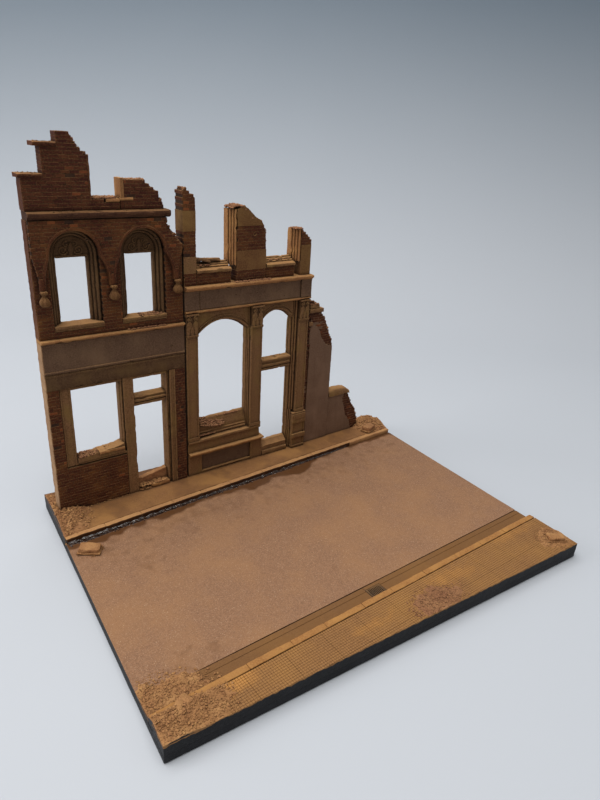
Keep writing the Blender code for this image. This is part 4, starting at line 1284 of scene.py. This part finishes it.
def make_arched_window(side, centre):
    node = f"arched_surround_{side}"
    shape, (left, right), (front, back), (low, _) = part(node)
    half = 9.5
    width = (right - left) / 2 - half
    path = dense([(centre + half, low), (centre + half, ARCH_SPRING)], 2)
    path += arc(centre, ARCH_SPRING, half, 0, 180, 22)[1:]
    path += dense([(centre - half, ARCH_SPRING), (centre - half, low)], 2)[1:]
    surround(shape, path, reeds(width, 5.6, front - 0.4, 3, back), chip=0.5)
    head = ARCH_SPRING - 1.2
    line = arc(centre, ARCH_SPRING, half + 0.4, 0, 180, 20)
    curtain(shape, line, head, (5.4, back))
    moulding(shape, [(back, head - 0.6), (4.6, head - 0.6), (4.3, head), (4.6, head + 0.7),
                     (back, head + 0.7)], centre - half, centre + half, 0, chip=0.3)
    for mirror in (-1, 1):
        scroll(shape, centre + mirror * 4.6, 5.1, head + 3.7, 2.9, 1.6, 0.55, 0, mirror, 200)
        scroll(shape, centre + mirror * 2.6, 5.1, head + 7.2, 1.9, 1.3, 0.45, 0, -mirror, 60)
    leaf(shape, centre, 5.2, head + 0.9, 2.6, 7.4, 0.9)
    close(shape, [DARK_OLIVE])

    shape, (left, right), (front, back), (low, top) = part(f"upper_sill_{side}")
    section = profile(shape, [(0.4, 0), (0.5, 1.2), (-0.1, 1.5), (-0.35, 2.1)], [(-0.2, 0), (0.8, 0.2)],
                      0.5)
    moulding(shape, section, left - 0.3, right + 0.3, amount=0.2, chip=0.8)
    if side == "right":
        debris(shape, (left + 12, right), (0, back - 1), top + 0.2, 120, 1.1, 1)
        debris(shape, (left + 2, right), (-2.0, 0.5), 136.0, 80, 1.0, 1)
    close(shape, [OLIVE, BROKEN])


def make_corbels():
    for side in ("left", "middle", "right"):
        shape, (left, right), (front, back), (_, top) = part(f"corbel_{side}")
        a, d = (left + right) / 2, (front + back) / 2
        profile = [(0.0, top + 0.3), (1.9, top + 0.3), (2.2, top - 0.4), (2.1, top - 1.3),
                   (1.4, top - 1.9), (1.25, top - 2.8), (1.7, top - 3.4), (2.5, top - 4.4),
                   (3.15, top - 5.6), (3.4, top - 6.8), (3.1, top - 7.8), (2.2, top - 8.6),
                   (1.2, top - 9.0), (0.0, top - 9.1)]
        lathe(shape, [(0.88 * radius, z) for radius, z in profile], a, d, 0, 36, 6, 0.12)
        beads, reach = 8, 1.7
        for i in range(beads):
            t = math.tau * i / beads
            x, y = a + reach * math.sin(t), d - reach * math.cos(t)
            box = ((x - 0.55, x + 0.55), (y - 0.5, y + 0.5), (top - 1.2, top))
            worn_block(shape, *box, radius=0.3, step=1)
        neck = [(1.5, ARCH_SPRING - 12), (1.9, BAND_FOOT + 1.6), (1.7, top - 0.2)]
        lathe(shape, neck, a, -1.9, 1, 14)
        close(shape, [TAN_STONE, BRICK], smooth=50)


def make_gable():
    shape, (start, _), (front, back), (low, peak) = part("gable_wall")
    shelf, step_top = 246.2, 229.6
    wall = [(start, low), (-90.6, low), (-90.6, 216.6), (-108.0, 217.4), (-108.4, 243.3), (-113.0, 246.2),
            (-115.8, 249.9), (-117.5, peak), (-125.0, peak - 0.4), (-125.0, shelf), (-134.0, shelf),
            (-134.0, step_top), (start, step_top)]
    brickwork(shape, [wall], (front, back), length=5.4, proud=0.08, ragged=lambda x,
              z: 0.6 if x > -120 and z > 240 else 0.05)
    upright(shape, [(-108.9, back), (-108.9, 1.4), (-108.5, -0.5), (-107.7, -0.6), (-107.2, 1.2),
                    (-107.0, back)], 217.5, 242.6, 2, amount=0.3, chip=0.8)
    ledge = [(back, 216.4), (front - 0.2, 216.4), (front - 0.5, 217.2), (front - 0.2, 218.3), (back, 218.6)]
    moulding(shape, ledge, -99.0, -90.6, 3, amount=0.25, chip=0.6)
    debris(shape, (-107, -93), (0.6, back - 1), 218.4, 150, 1.8, 4)
    debris(shape, (-124, -112), (1, back - 1), lambda x, d: 253.5 - max(0, x + 118) * 1.3, 60, 1.3, 4)
    for _ in range(9):
        a, z = shape.dice.uniform(start + 6, -111), shape.dice.uniform(216, 240)
        pock(shape, a, front - 0.05, z, shape.dice.uniform(0.5, 1.0), 1)
    cut_end(shape, start, (front, back), (low, step_top), 0)
    crust(shape, [(-109.4, 218), (-109.4, 242.6), (-114.0, 245.4), (-116.8, 249.0), (-118.5, peak - 1),
                  (-124.0, peak - 1.2)], (front, back), 1.8, 5)
    close(shape, [RED_BRICK, MORTAR, BRICK, OCHRE, BROKEN, CRUST])

    for which in ("lower", "upper"):
        node = f"gable_coping_{which}"
        shape, (left, right), (front, back), (low, top) = part(node)
        section = [(back, low - 0.2), (front + 1.3, low - 0.2), (front + 0.7, low + 0.4),
                   (front + 0.6, low + 0.9), (front, low + 1.2), (front, top - 0.3), (front + 0.6, top),
                   (back - 0.4, top), (back, top - 0.4)]
        moulding(shape, section, left, right, amount=0.2, chip=0.7, step=1.2)
        debris(shape, (left + 1, right), (front + 1, back - 1), top, 24, 0.7)
        close(shape, [RED_BRICK])

    shape, (left, right), (front, back), (low, top) = part("parapet_remnant")
    wall = [(left + 2.5, low), (right, low), (right - 3, 218.3), (right - 4.1, 222.0),
            (right - 9.2, 225.4), (right - 13, 228.6), (left + 2.5, top - 1.4)]
    brickwork(shape, [wall], (front, back), length=5.2, proud=0.09, ragged=lambda x,
              z: 0.6 if x > -76 else 0)
    upright(shape, board_plan(left, left + 2.4, front - 0.3, back, 0.3), 218.8, top - 0.3, 2, chip=0.5)
    upright(shape, board_plan(left, left + 2.4, front + 0.1, back, 0.1), low, 218.8, 0)
    moulding(shape, [(back, 217.2), (front - 0.2, 217.2), (front - 0.5, 218.0), (front, 218.9),
                     (back, 219.2)], left - 0.6, left + 8, 2, chip=0.4)
    debris(shape, (left + 3, right - 12), (0.8, back - 0.8), top - 1.6, 90, 1.5, 3)
    break_line = [(right - 0.9, low + 1), (right - 4, 217.6), (right - 5.1, 221.2), (right - 10.2, 224.6),
                  (right - 14, 227.8)]
    crust(shape, break_line, (front, back), 1.8, 4)
    close(shape, [RED_BRICK, MORTAR, OCHRE, BROKEN, CRUST])


# The right building ------------------------------------------------------------------------------------


def make_stall_riser():
    shape, (start, end), (front, back), (low, top) = part("stall_riser")
    panel_left, panel_right = -37.2, 7.2
    moulding(shape, [(back, low), (front + 1.5, low), (front + 1.6, top), (back, top)], start, end, 1,
             chip=0)
    upright(shape, board_plan(start, panel_left, front - 0.2, 3, 0.2), low, top)
    upright(shape, board_plan(panel_right, end, front - 0.2, 3, 0.2), low, top)
    moulding(shape, bead(front, top - 1.6, top, 3, 0.1), panel_left, panel_right)
    moulding(shape, [(3, low), (front, low), (front - 0.1, low + 1.6), (front + 0.5, low + 2.1),
                     (3, low + 2.2)], panel_left, panel_right)
    close(shape, [OLIVE, GREY])

    ledge = strip("lower_sill_ledge", [(1.8, -0.2), (1.2, 0.4), (0.3, 0.7), (0, 1.3)],
                  [(0.1, -0.4), (0.7, 0)])
    close(ledge, [OCHRE])

    shape, (start, end), (front, back), (low, top) = part("upper_sill_ledge")
    section = [(back, low), (0.0, low), (0.1, low + 3), (0.0, low + 7), (-0.5, low + 7.5),
               (front + 0.2, low + 7.9), (front - 0.2, low + 8.7), (front, top - 0.4), (front + 0.6, top),
               (back, top + 0.2)]
    moulding(shape, section, start, end, amount=0.18, chip=0.6)
    close(shape, [OLIVE])

    shape, (start, end), _, (low, _) = part("shop_door_threshold")
    section = profile(shape, [(0, 0), (-0.2, 3.2), (0.2, 3.8), (1.2, 4.0)],
                      [(1.1, -2.8), (2.0, -2.4), (4.8, 0.8)], 1.2)
    moulding(shape, section, start, end, amount=0.25, chip=0.8)
    debris(shape, (start + 4, end - 2), (0.5, 4.5), low + 4.2, 26, 0.6)
    close(shape, [OLIVE])


def make_pilasters():
    for side in ("left", "middle", "right"):
        node = f"pilaster_{side}"
        shape, (left, right), (front, back), (low, top) = part(node)
        face = front + 1.2
        neck = 125.5
        upright(shape, board_plan(left, right, face, back, 0.5), low, neck - 1.5, chip=0.4)
        foot = [(left - 0.1, back), (left - 0.1, face - 0.4), (right + 0.1, face - 0.4),
                (right + 0.1, back)]
        upright(shape, foot, low, low + 2.4, step=0.8)
        for level, out in ((neck - 1.6, 0.5), (neck - 0.6, 0.9)):
            collar = [(left - 0.1, back), (left - 0.1, face - out), (right + 0.1, face - out),
                      (right + 0.1, back)]
            upright(shape, collar, level, level + 0.8, step=0.4, chip=0.2)
        make_capital(shape, left, right, face, back, neck + 0.2, top)
        close(shape, [OLIVE, DARK_OLIVE])


def make_capital(shape, left, right, face, back, low, top):
    """A carved capital of the usual kind: two rows of leaves, a scroll at each corner and a slab on top."""
    width = right - left
    core = [(left + 0.2, back), (left + 0.2, face - 0.2), (right - 0.2, face - 0.2), (right - 0.2, back)]
    upright(shape, core, low, top - 1.0, 1, step=1.5)
    height = top - low
    for row, (share, count, size) in enumerate(((0.0, 3, 0.42), (0.28, 2, 0.40))):
        pitch = width / count
        for i in range(count):
            a = left + pitch * (i + 0.5)
            leaf(shape, a, face - 0.1 - 0.15 * row, low + height * share, pitch * 0.86, height * size, 0.9)
    for mirror in (-1, 1):
        a = (left + right) / 2 + mirror * width * 0.27
        scroll(shape, a, face - 0.9, top - 3.4, width * 0.17, 1.7, 0.34, 0, mirror, 90)
        lathe(shape, [(0.0, top - 2.9), (0.5, top - 3.1), (0.5, top - 3.8), (0.0, top - 4.0)], a,
              face - 1.1, 0, 8)
    slab = [(back, top - 1.5), (face - 0.9, top - 1.5), (face - 1.4, top - 1.0), (face - 1.4, top - 0.1),
            (back, top)]
    moulding(shape, slab, left - 0.1, right + 0.1, 0, step=1.0, chip=0.4)


def make_pedestal():
    shape, (left, right), (front, back), (low, top) = part("pilaster_pedestal")
    face = front + 1.4
    upright(shape, board_plan(left, right, face, back, 0.6), low, top - 6, chip=0.5)
    bands = ((low, low + 2.2, 0.3), (20.5, 24.5, 1.3), (top - 10.2, top - 6.4, 0.7),
             (top - 6.6, top - 1.4, 0.9), (top - 1.2, top, 0.4))
    for foot, head, out in bands:
        worn_block(shape, (left - 0.1, right + 0.1), (face - out, back), (foot, head), radius=0.45,
                   step=1.6, rough=0.3)
    close(shape, [OLIVE])


def make_shop_frames():
    back_edge = 6.8
    for node, opening in (
        ("shop_window_frame", ((-37.4, 2.9), (56.6, 123.5, 132.0))),
        ("shop_door_frame", ((16.6, 43.4), (96.0, 127.0, 133.6))),
    ):
        shape, _, (front, back), (low, top) = part(node)
        (hole_left, hole_right), (hole_low, spring, crown) = opening
        is_door = node == "shop_door_frame"
        width, ridge = (5.6, 3.0) if is_door else (2.0, 3.4)
        foot_left, foot_right = (31.4, 11.4) if is_door else (low, low)
        head = flat_arch(hole_left, hole_right, spring, crown)
        path = dense([(hole_right, foot_right), (hole_right, spring)], 2) + head[1:-1]
        path += list(reversed(dense([(hole_left, foot_left), (hole_left, spring)], 2)))
        surround(shape, path, reeds(1.9, 5.2, 3.4, 2, back_edge), chip=0.7)
        over_head = [(x, z + 1.7) for x, z in head]
        arch_line = [(hole_right + 1.8, spring)] + over_head + [(hole_left - 1.8, spring)]
        curtain(shape, arch_line, top, (front + 0.5, back_edge))
        roll = [(0.0, 4.5), (0.0, front + 0.2), (0.4, front - 0.4), (1.0, front - 0.4),
                (1.3, front + 0.3), (1.3, 4.5)]
        surround(shape, [(x, z + 1.6) for x, z in head], roll, chip=0.3)
        surround(shape, [(x, z + 4.4) for x, z in head],
                 [(0, 4), (0, front + 0.1), (0.35, front - 0.1), (0.7, front + 0.1), (0.7, 4)], chip=0.2)
        jamb = reeds(width, ridge, front - 0.2, 3, back)
        if is_door:
            pedestal_top = 46.5
            upright(shape, [(hole_right + 0.6 + out, depth) for out, depth in jamb], pedestal_top, top,
                    chip=0.6)
            narrow = [(hole_right + 0.6 + out * 0.6, depth) for out, depth in jamb]
            upright(shape, narrow, foot_right, pedestal_top, chip=0.5)
            make_transom(shape, hole_left, hole_right, 86.3, hole_low, back)
        else:
            upright(shape, [(hole_right + 0.1 + out, depth) for out, depth in jamb], low, top, chip=0.5)
            upright(shape, [(hole_left - 0.1 - out, depth) for out, depth in jamb], low, top, chip=0.5)
            make_window_foot(shape, hole_left, hole_right, low, hole_low, back)
        close(shape, [OLIVE, BROKEN])


def make_transom(shape, left, right, low, high, back):
    section = [(back - 0.6, low), (1.8, low), (0.9, low + 0.6), (0.6, low + 2.0), (1.6, low + 2.6),
               (0.4, low + 3.4), (0.2, low + 5.0), (1.2, low + 5.6), (1.0, high - 2.6), (0.2, high - 2.0),
               (0.0, high - 0.8), (0.8, high), (back - 0.6, high + 0.4)]
    moulding(shape, section, left, right + 0.4, amount=0.22, chip=0.8)
    debris(shape, (left + 2, right - 1), (2.5, back - 1), high + 0.3, 24, 0.6)


def make_window_foot(shape, left, right, low, high, back):
    rail = [(back, low), (2.0, low), (1.7, low + 1.6), (2.6, low + 2.2), (2.2, low + 3.6),
            (3.1, low + 4.4), (2.7, low + 6.6), (3.4, low + 8.4), (4.0, low + 10.4), (4.6, high - 2.0),
            (5.4, high - 0.8), (back, high - 0.2)]
    moulding(shape, rail, left - 0.3, right + 0.3, 0, amount=0.25, chip=0.6)
    middle = left + 21

    def slope(a, d):
        return low + 5.5 + 1.1 * d + 0.25 * (left + 12 - a) * (a < left + 12)

    debris(shape, (left + 0.5, middle), (1.2, back - 0.6), slope, 330, 1.4, 1)
    debris(shape, (middle - 6, right - 3), (4.6, back - 0.4), high - 1.6, 120, 1.2, 1)
    debris(shape, (left - 4, left + 12), (0.4, 2.2), low + 1.6, 70, 1.0, 1)


def make_entablature():
    strip_foot, strip_head = [(0.9, -0.2), (0.2, 0.3), (0, 0.8)], [(0.2, 0), (1.4, 0.3)]
    shape = strip("entablature_strip", strip_foot, strip_head, 0.3, amount=0.16, chip=0.5)
    close(shape, [OCHRE])

    shape, (start, end), (front, back), (low, top) = part("entablature_fascia")
    face, block_start, joint = front + 1.0, 50.2, start + 11.5
    section = [(back, low), (face, low), (face - 0.1, low + 1.0), (face + 0.15, low + 1.4),
               (face + 0.2, low + 7), (face + 0.1, top - 1.2), (face - 0.2, top - 0.8), (face - 0.2, top),
               (back, top)]
    moulding(shape, section, start, joint - 0.25, chip=0.2)
    moulding(shape, section, joint + 0.25, block_start - 0.4, chip=0.2)
    filler = [(back - 0.4, low + 0.2), (face + 0.8, low + 0.2), (face + 0.8, top - 0.2),
              (back - 0.4, top - 0.2)]
    moulding(shape, filler, joint - 1, block_start, 1)
    end_section = [(d - 0.9, z) if d < back else (d, z) for d, z in section]
    moulding(shape, end_section, block_start, end, chip=0.4)
    for _ in range(6):
        a, z = shape.dice.uniform(start + 14, block_start - 4), shape.dice.uniform(low + 3, top - 3)
        pock(shape, a, face + 0.1, z, shape.dice.uniform(0.3, 0.6), 1)
    close(shape, [GREY, MORTAR])

    shape, (start, end), (front, _), (_, top) = part("entablature_ledge")
    section = profile(shape, [(1.9, -0.2), (1.3, 0.5), (0.5, 0.9), (0, 1.6)], [(0.1, -0.5), (0.8, 0.1)])
    moulding(shape, section, start, end, amount=0.2, chip=0.7)
    debris(shape, (-9, 21), (front + 1, 0.3), top + 0.1, 260, 1.1, 1)
    debris(shape, (-22, -8), (front + 1.4, 0.1), top, 50, 0.7, 1)
    debris(shape, (22, end - 2), (front + 1, 0.2), top, 40, 0.5, 1)
    close(shape, [OCHRE, BROKEN])


def banded_pier(shape, outline, depth, bands, ragged=None):
    """A pier of brick with bands of squared stone. bands holds, from the foot up, where each ends and whether
    it is stone."""
    low = min(z for _, z in outline)
    top = max(z for _, z in outline)
    front, back = depth
    for level, tag in bands:
        level = min(level, top)
        heights = stations(low, level, 3.0)
        edges = [crossings([outline], min(max(z, low + 0.02), top - 0.02)) for z in heights]
        left = [(pair[0], z) for pair, z in zip(edges, heights)]
        right = [(pair[-1], z) for pair, z in zip(edges, heights)]
        section = left[::-1] + right
        if tag:
            torn_above = level - 12 if level >= top - 0.1 else top
            line = [(x, z, 0.8 if z > torn_above else 0) for x, z in section]
            torn_plate(shape, line, (front - 0.12, back + 0.12), tag)
        else:
            brickwork(shape, [section], depth, length=4.4, mortar=4, proud=0.08, ragged=ragged)
        low = level


def make_upper_piers():
    shape, (start, end), (front, back), (foot, top) = part("tall_pier")
    outline = [(start, foot), (end, foot), (end, 218.6), (-44.0, 221.6), (-46.5, top), (start, top - 1.2)]
    bands = ((169.0, 0), (180.2, 2), (197.0, 0), (210.2, 1), (top, 0))
    banded_pier(shape, outline, (front, back), bands, lambda x, z: 0.4 if z > 216 else 0.05)
    moulding(shape, bead(front + 0.3, foot, 166, 4, 0.2), start, end, 1)
    crust(shape, [(end - 0.6, 218.0), (-44.2, 221.0), (-46.7, top - 0.6), (start + 0.5, top - 1.6)],
          (front, back), 1.2, 3)
    close(shape, [BRICK, TAN_STONE, OLIVE, CRUST, MORTAR])

    shape, (start, end), (front, back), (foot, top) = part("centre_pier")
    corner = start + 4.6
    outline = [(corner, foot), (end, foot), (end - 0.2, 180.0), (end - 1.0, 195.5), (end - 4.5, 202.3),
               (6.0, 205.4), (4.4, 208.2), (-1.5, top), (corner, top - 0.6)]
    bands = ((168.0, 0), (182.0, 1), (199.0, 0), (top, 1))
    banded_pier(shape, outline, (front, back), bands, lambda x, z: 0.6 if z > 196 and x > 0 else 0.05)
    jamb = reeds(4.4, 6.0, 0.2, 4, back)
    upright(shape, [(start + out, depth) for out, depth in jamb], 172, top - 2.6, 2, chip=0.9, amount=0.2)

    def mound(a, _):
        return top - 0.4 - 0.07 * (a - start - 5.5) ** 2

    debris(shape, (start + 0.8, 6), (0.6, back - 0.6), mound, 260, 1.9, 3)
    break_line = [(end - 0.8, 186), (end - 1.6, 195.5), (end - 5.1, 201.8), (5.4, 204.9), (3.8, 207.7),
                  (-2.0, top - 1.2)]
    crust(shape, break_line, (front, back), 1.5, 3)
    pock(shape, 7.0, front - 0.1, 193.0, 1.4, 1)
    close(shape, [BRICK, TAN_STONE, OCHRE, BROKEN, MORTAR])

    shape, (start, end), (front, back), (foot, top) = part("right_pier")
    corner = start + 5.4
    outline = [(corner, foot), (end, foot), (end, 186.5), (52.2, 192.4), (corner, top - 1.4)]
    bands = ((183.0, 1), (top, 0))
    banded_pier(shape, outline, (front, back), bands, lambda x, z: 0.6 if z > 185 else 0)
    jamb = reeds(5.2, 6.4, 0.4, 4, back)
    upright(shape, [(start + out, depth) for out, depth in jamb], 171, top - 0.8, 2, chip=0.9, amount=0.22)
    debris(shape, (start + 0.5, 51), (0.8, back - 1), top - 1.0, 110, 1.3, 3)
    crust(shape, [(end - 0.6, 185.5), (51.8, 192.0), (corner, top - 2)], (front, back), 1.3, 3)
    close(shape, [BRICK, TAN_STONE, OCHRE, BROKEN, MORTAR])


def make_upper_sills():
    for side in ("left", "right"):
        node = f"upper_window_sill_{side}"
        shape, (start, end), (front, back), (low, top) = part(node)
        apron = [(start, low), (end, low), (end, 168.6), (start, 168.6)]
        brickwork(shape, [apron], (0.1, back), course=2.05, length=4.4, mortar=3)
        slab = [(back, 168.5), (front + 0.4, 168.5), (front - 0.1, 169.2), (front, 170.4),
                (front + 0.8, 171.0), (3.2, 171.5), (back, 171.5)]
        moulding(shape, slab, start, end, 1, amount=0.22, chip=0.8)
        rails = [(back, 171.0), (3.4, 171.2), (3.2, 172.2), (4.2, 172.7), (4.6, 172.4), (4.9, 173.6),
                 (6.0, 174.0), (6.3, 173.5), (6.7, 174.8), (8.0, 175.1), (8.6, 174.2), (back, 173.8)]
        moulding(shape, rails, start, end, 1, amount=0.25, chip=1.0)
        strewn = (start + 1, start + 12) if side == "left" else (start + 1, end - 2)
        debris(shape, strewn, (3.4, back - 1), top - 2.2, 90 if side == "left" else 50, 1.3, 2)
        close(shape, [BRICK, OLIVE, BROKEN, MORTAR])

    shape, (start, end), (front, back), (low, top) = part("fallen_timbers")
    centre = Vector(((start + end) / 2, (front + back) / 2, (low + top) / 2))
    beams = ((0, 0, 19, -5, 3), (-1.5, 1.2, 17, -9, 6), (-5.0, -0.9, 11, -12, -8), (3.0, 1.7, 13, -2, -3),
             (-6.0, 0.5, 9, 8, 5))
    for a, d, length, lean, turn in beams:
        tilt = Euler((0, math.radians(-lean), math.radians(turn))).to_matrix().to_4x4()
        place = Matrix.Translation(centre + Vector((a, d, -0.7))) @ tilt
        worn_block(shape, (-length / 2, length / 2), (-1.1, 1.1), (-0.7, 0.7), radius=0.3, step=1.1,
                   rough=0.35, place=place)
    close(shape, [TIMBER])


# The walls beside it -----------------------------------------------------------------------------------


def make_side_walls():
    shape, (start, end), (front, back), (foot, top) = part("end_wall")
    slope = [(end, 102.0), (84.6, 105.5), (84.0, 110.0), (81.5, 115.0), (79.0, 121.5), (75.0, 127.5),
             (70.0, 134.0), (66.0, top - 1)]
    wall = [(start, foot), (end, foot)] + slope + [(start, top)]
    brickwork(shape, [wall], (front + 0.7, back), length=4.8, ragged=lambda x,
              z: 1.6 if z > 98 and x > 62 else 0.3, proud=0.2)
    skin = [(start + 2.4, foot, 0), (end - 0.3, foot, 0.25), (end - 0.4, 97.0, 0.9), (80.5, 99.5, 0.9),
            (76.0, 105.0, 0.9), (73.0, 113.0, 0.9), (67.5, 118.5, 0.9), (64.5, 121.5, 0.8),
            (start + 2.6, 124.0, 0.7), (start + 1.9, 108.0, 0.6), (start + 2.8, 96.0, 0.3)]
    torn_plate(shape, skin, (front - 0.1, front + 1.2), 1, 2)
    rear_skin = [(start + 1, foot, 0), (end - 0.8, foot, 0.3), (end - 1.2, 92, 0.9), (76, 108, 0.9),
                 (start + 6, 116, 0.9), (start + 1, 90, 0.6)]
    torn_plate(shape, rear_skin, (back - 0.8, back + 0.2), 1, 2)
    worn_block(shape, (start - 0.1, 75.4), (front - 1.3, back), (128.2, 131.4), 4, radius=0.5, step=1.2,
               rough=0.35)
    worn_block(shape, (start + 1, 71.5), (front - 0.5, back), (131.4, 134.6), 4, radius=0.6, step=1.2,
               rough=0.45)
    worn_block(shape, (start, start + 4.5), (front - 0.8, front + 4), (117.5, 120.6), 4, radius=0.4,
               step=1.2, rough=0.35)
    debris(shape, (start + 0.5, 70), (front, back - 0.5), 134.8, 120, 1.7, 3)
    crust(shape, [(x - 1.0, z) for x, z in slope], (front + 0.4, back), 1.6, 5)
    for level in stations(90, 124, 5.2):
        worn_block(shape, (start, start + shape.dice.uniform(1.4, 3.0)), (front - 0.4, front + 3),
                   (level, level + 2.1), 0, radius=0.3, step=1.2, rough=0.3)
    close(shape, [RED_BRICK, RENDER, MORTAR, BROKEN, OLIVE, CRUST])

    shape, (start, end), (front, back), (foot, top) = part("low_wall")
    slope = [(end, foot), (end - 1.5, 20.0), (122.5, 29.0), (117.0, 38.0), (113.0, 46.0), (112.0, top)]
    brickwork(shape, [[(start, foot)] + slope + [(start, top)]], (front + 0.6, back), length=4.4,
              course=2.3, proud=0.16, ragged=lambda x, z: 1.6 if x > 105 else 0)
    skin = [(start, foot, 0), (118.0, foot, 0.5), (116.0, 19, 0.9), (110.5, 27, 0.9), (108, 36, 0.9),
            (105.5, 43, 0.9), (107, top, 0.4), (start, top, 0)]
    torn_plate(shape, skin, (front - 0.1, front + 1.1), 1, 2)
    torn_plate(shape, [(x - 0.6, z, r) for x, z, r in skin], (back - 0.6, back + 0.2), 1, 2)
    crust(shape, [(x - 1.0, z) for x, z in slope], (front + 0.4, back), 1.7, 3)
    close(shape, [RED_BRICK, RENDER, MORTAR, CRUST])

    shape, (start, end), (front, back), (low, top) = part("low_wall_coping")
    rings = []
    for a in stations(start, end, 1.0):
        share = (a - start) / (end - start)
        swell = 0.8 * math.sin(math.pi * min(1, share * 1.35))
        crown = top - 0.8 + swell - 3.2 * smooth_step((share - 0.78) / 0.22)
        section = [(front, low), (front - 0.1, crown - 3.0), (front + 0.9, crown - 0.9),
                   (front + 2.6, crown), (back - 2.6, crown), (back - 0.9, crown - 0.9),
                   (back, crown - 3.0), (back, low)]
        rings.append(pulled([wear((a, d, z), 0.35) for d, z in section], 0.5))
    loft(shape, rings)
    close(shape, [OLIVE], smooth=50)


# The table, the lights and the camera ------------------------------------------------------------------


def make_table():
    """A pale sheet that lies under the board and sweeps up behind it."""
    depth, rise, bend, half = 1.0, 1.7, 0.55, 3.0
    line = [(-2.5, 0.0), (depth - bend, 0.0)]
    line += [(depth - bend + bend * math.sin(t), bend - bend * math.cos(t))
             for t in stations(0, math.pi / 2, 0.08)[1:]]
    line.append((depth, rise))
    turn = Matrix.Rotation(math.radians(-34), 4, "Z")
    points = [turn @ Vector((x, y, z - 0.0005)) for y, z in line for x in (-half, half)]
    faces = [(2 * i, 2 * i + 1, 2 * i + 3, 2 * i + 2) for i in range(len(line) - 1)]
    mesh = bpy.data.meshes.new("table")
    mesh.from_pydata(points, [], faces)
    mesh.shade_smooth()
    paint = Paint("table_paper")
    height = paint.node("ShaderNodeSeparateXYZ", {0: paint.place}).outputs["Z"]
    # Painted shade: the sheet is painted darker as it rises behind the board.
    colour = paint.mix(paint.ranged(height, 0.0, 0.55), srgb(194, 200, 208), srgb(106, 120, 133))
    faint = paint.noise(240, 3, 0.5)
    paint.finish(colour, faint, 0.5, paint.ranged(faint, 0.3, 0.7, 0.75, 0.85))
    mesh.materials.append(paint.material)
    table = bpy.data.objects.new("table", mesh)
    bpy.context.scene.collection.objects.link(table)


def add_light(name, place, aim, size, power, colour):
    data = bpy.data.lights.new(name, "AREA")
    data.shape = "RECTANGLE"
    data.size, data.size_y = size
    data.energy = power
    data.color = colour
    lamp = bpy.data.objects.new(name, data)
    lamp.location = place
    lamp.rotation_euler = (Vector(aim) - Vector(place)).to_track_quat("-Z", "Y").to_euler()
    bpy.context.scene.collection.objects.link(lamp)


def make_lights():
    world = bpy.data.worlds.new("studio")
    bpy.context.scene.world = world
    world.use_nodes = True
    world.node_tree.nodes["Background"].inputs["Color"].default_value = (1.0, 0.98, 0.95, 1)
    world.node_tree.nodes["Background"].inputs["Strength"].default_value = 0.30
    add_light("overhead", (-0.3, 0.05, 1.5), (0, 0, 0), (1.8, 1.4), 20, (1.0, 0.97, 0.94))
    add_light("ceiling_tube", (-0.25, -0.1, 1.5), (0, 0, 0), (0.5, 0.1), 4, (1.0, 0.98, 0.96))
    add_light("left_window", (-1.5, 0.55, 0.75), (0, 0.05, 0.1), (1.0, 0.9), 9, (1.0, 0.97, 0.94))


def make_camera():
    yaw, pitch, roll = math.radians(34.25), math.radians(23.44), math.radians(3.3)
    forward = Vector((math.sin(yaw) * math.cos(pitch), math.cos(yaw) * math.cos(pitch), -math.sin(pitch)))
    right = Vector((math.cos(yaw), -math.sin(yaw), 0))
    up = right.cross(forward)
    side = math.cos(roll) * right + math.sin(roll) * up
    head = -math.sin(roll) * right + math.cos(roll) * up
    turn = Matrix((side, head, -forward)).transposed().to_4x4()
    data = bpy.data.cameras.new("camera")
    data.lens = 27.43
    data.sensor_width = 36
    camera = bpy.data.objects.new("camera", data)
    camera.matrix_world = Matrix.Translation((-0.2107, -0.2951, 0.2591)) @ turn
    bpy.context.scene.collection.objects.link(camera)
    bpy.context.scene.camera = camera


make_board()
make_road()
make_gutter()
make_grate()
make_kerbs()
make_pavements()
make_puddle()
make_heaps()
make_stones()
make_left_ground_floor()
make_left_upper_floor()
make_gable()
make_stall_riser()
make_pilasters()
make_pedestal()
make_shop_frames()
make_entablature()
make_upper_piers()
make_upper_sills()
make_side_walls()
make_table()
make_lights()
make_camera()
bpy.context.scene.view_settings.view_transform = "Standard"
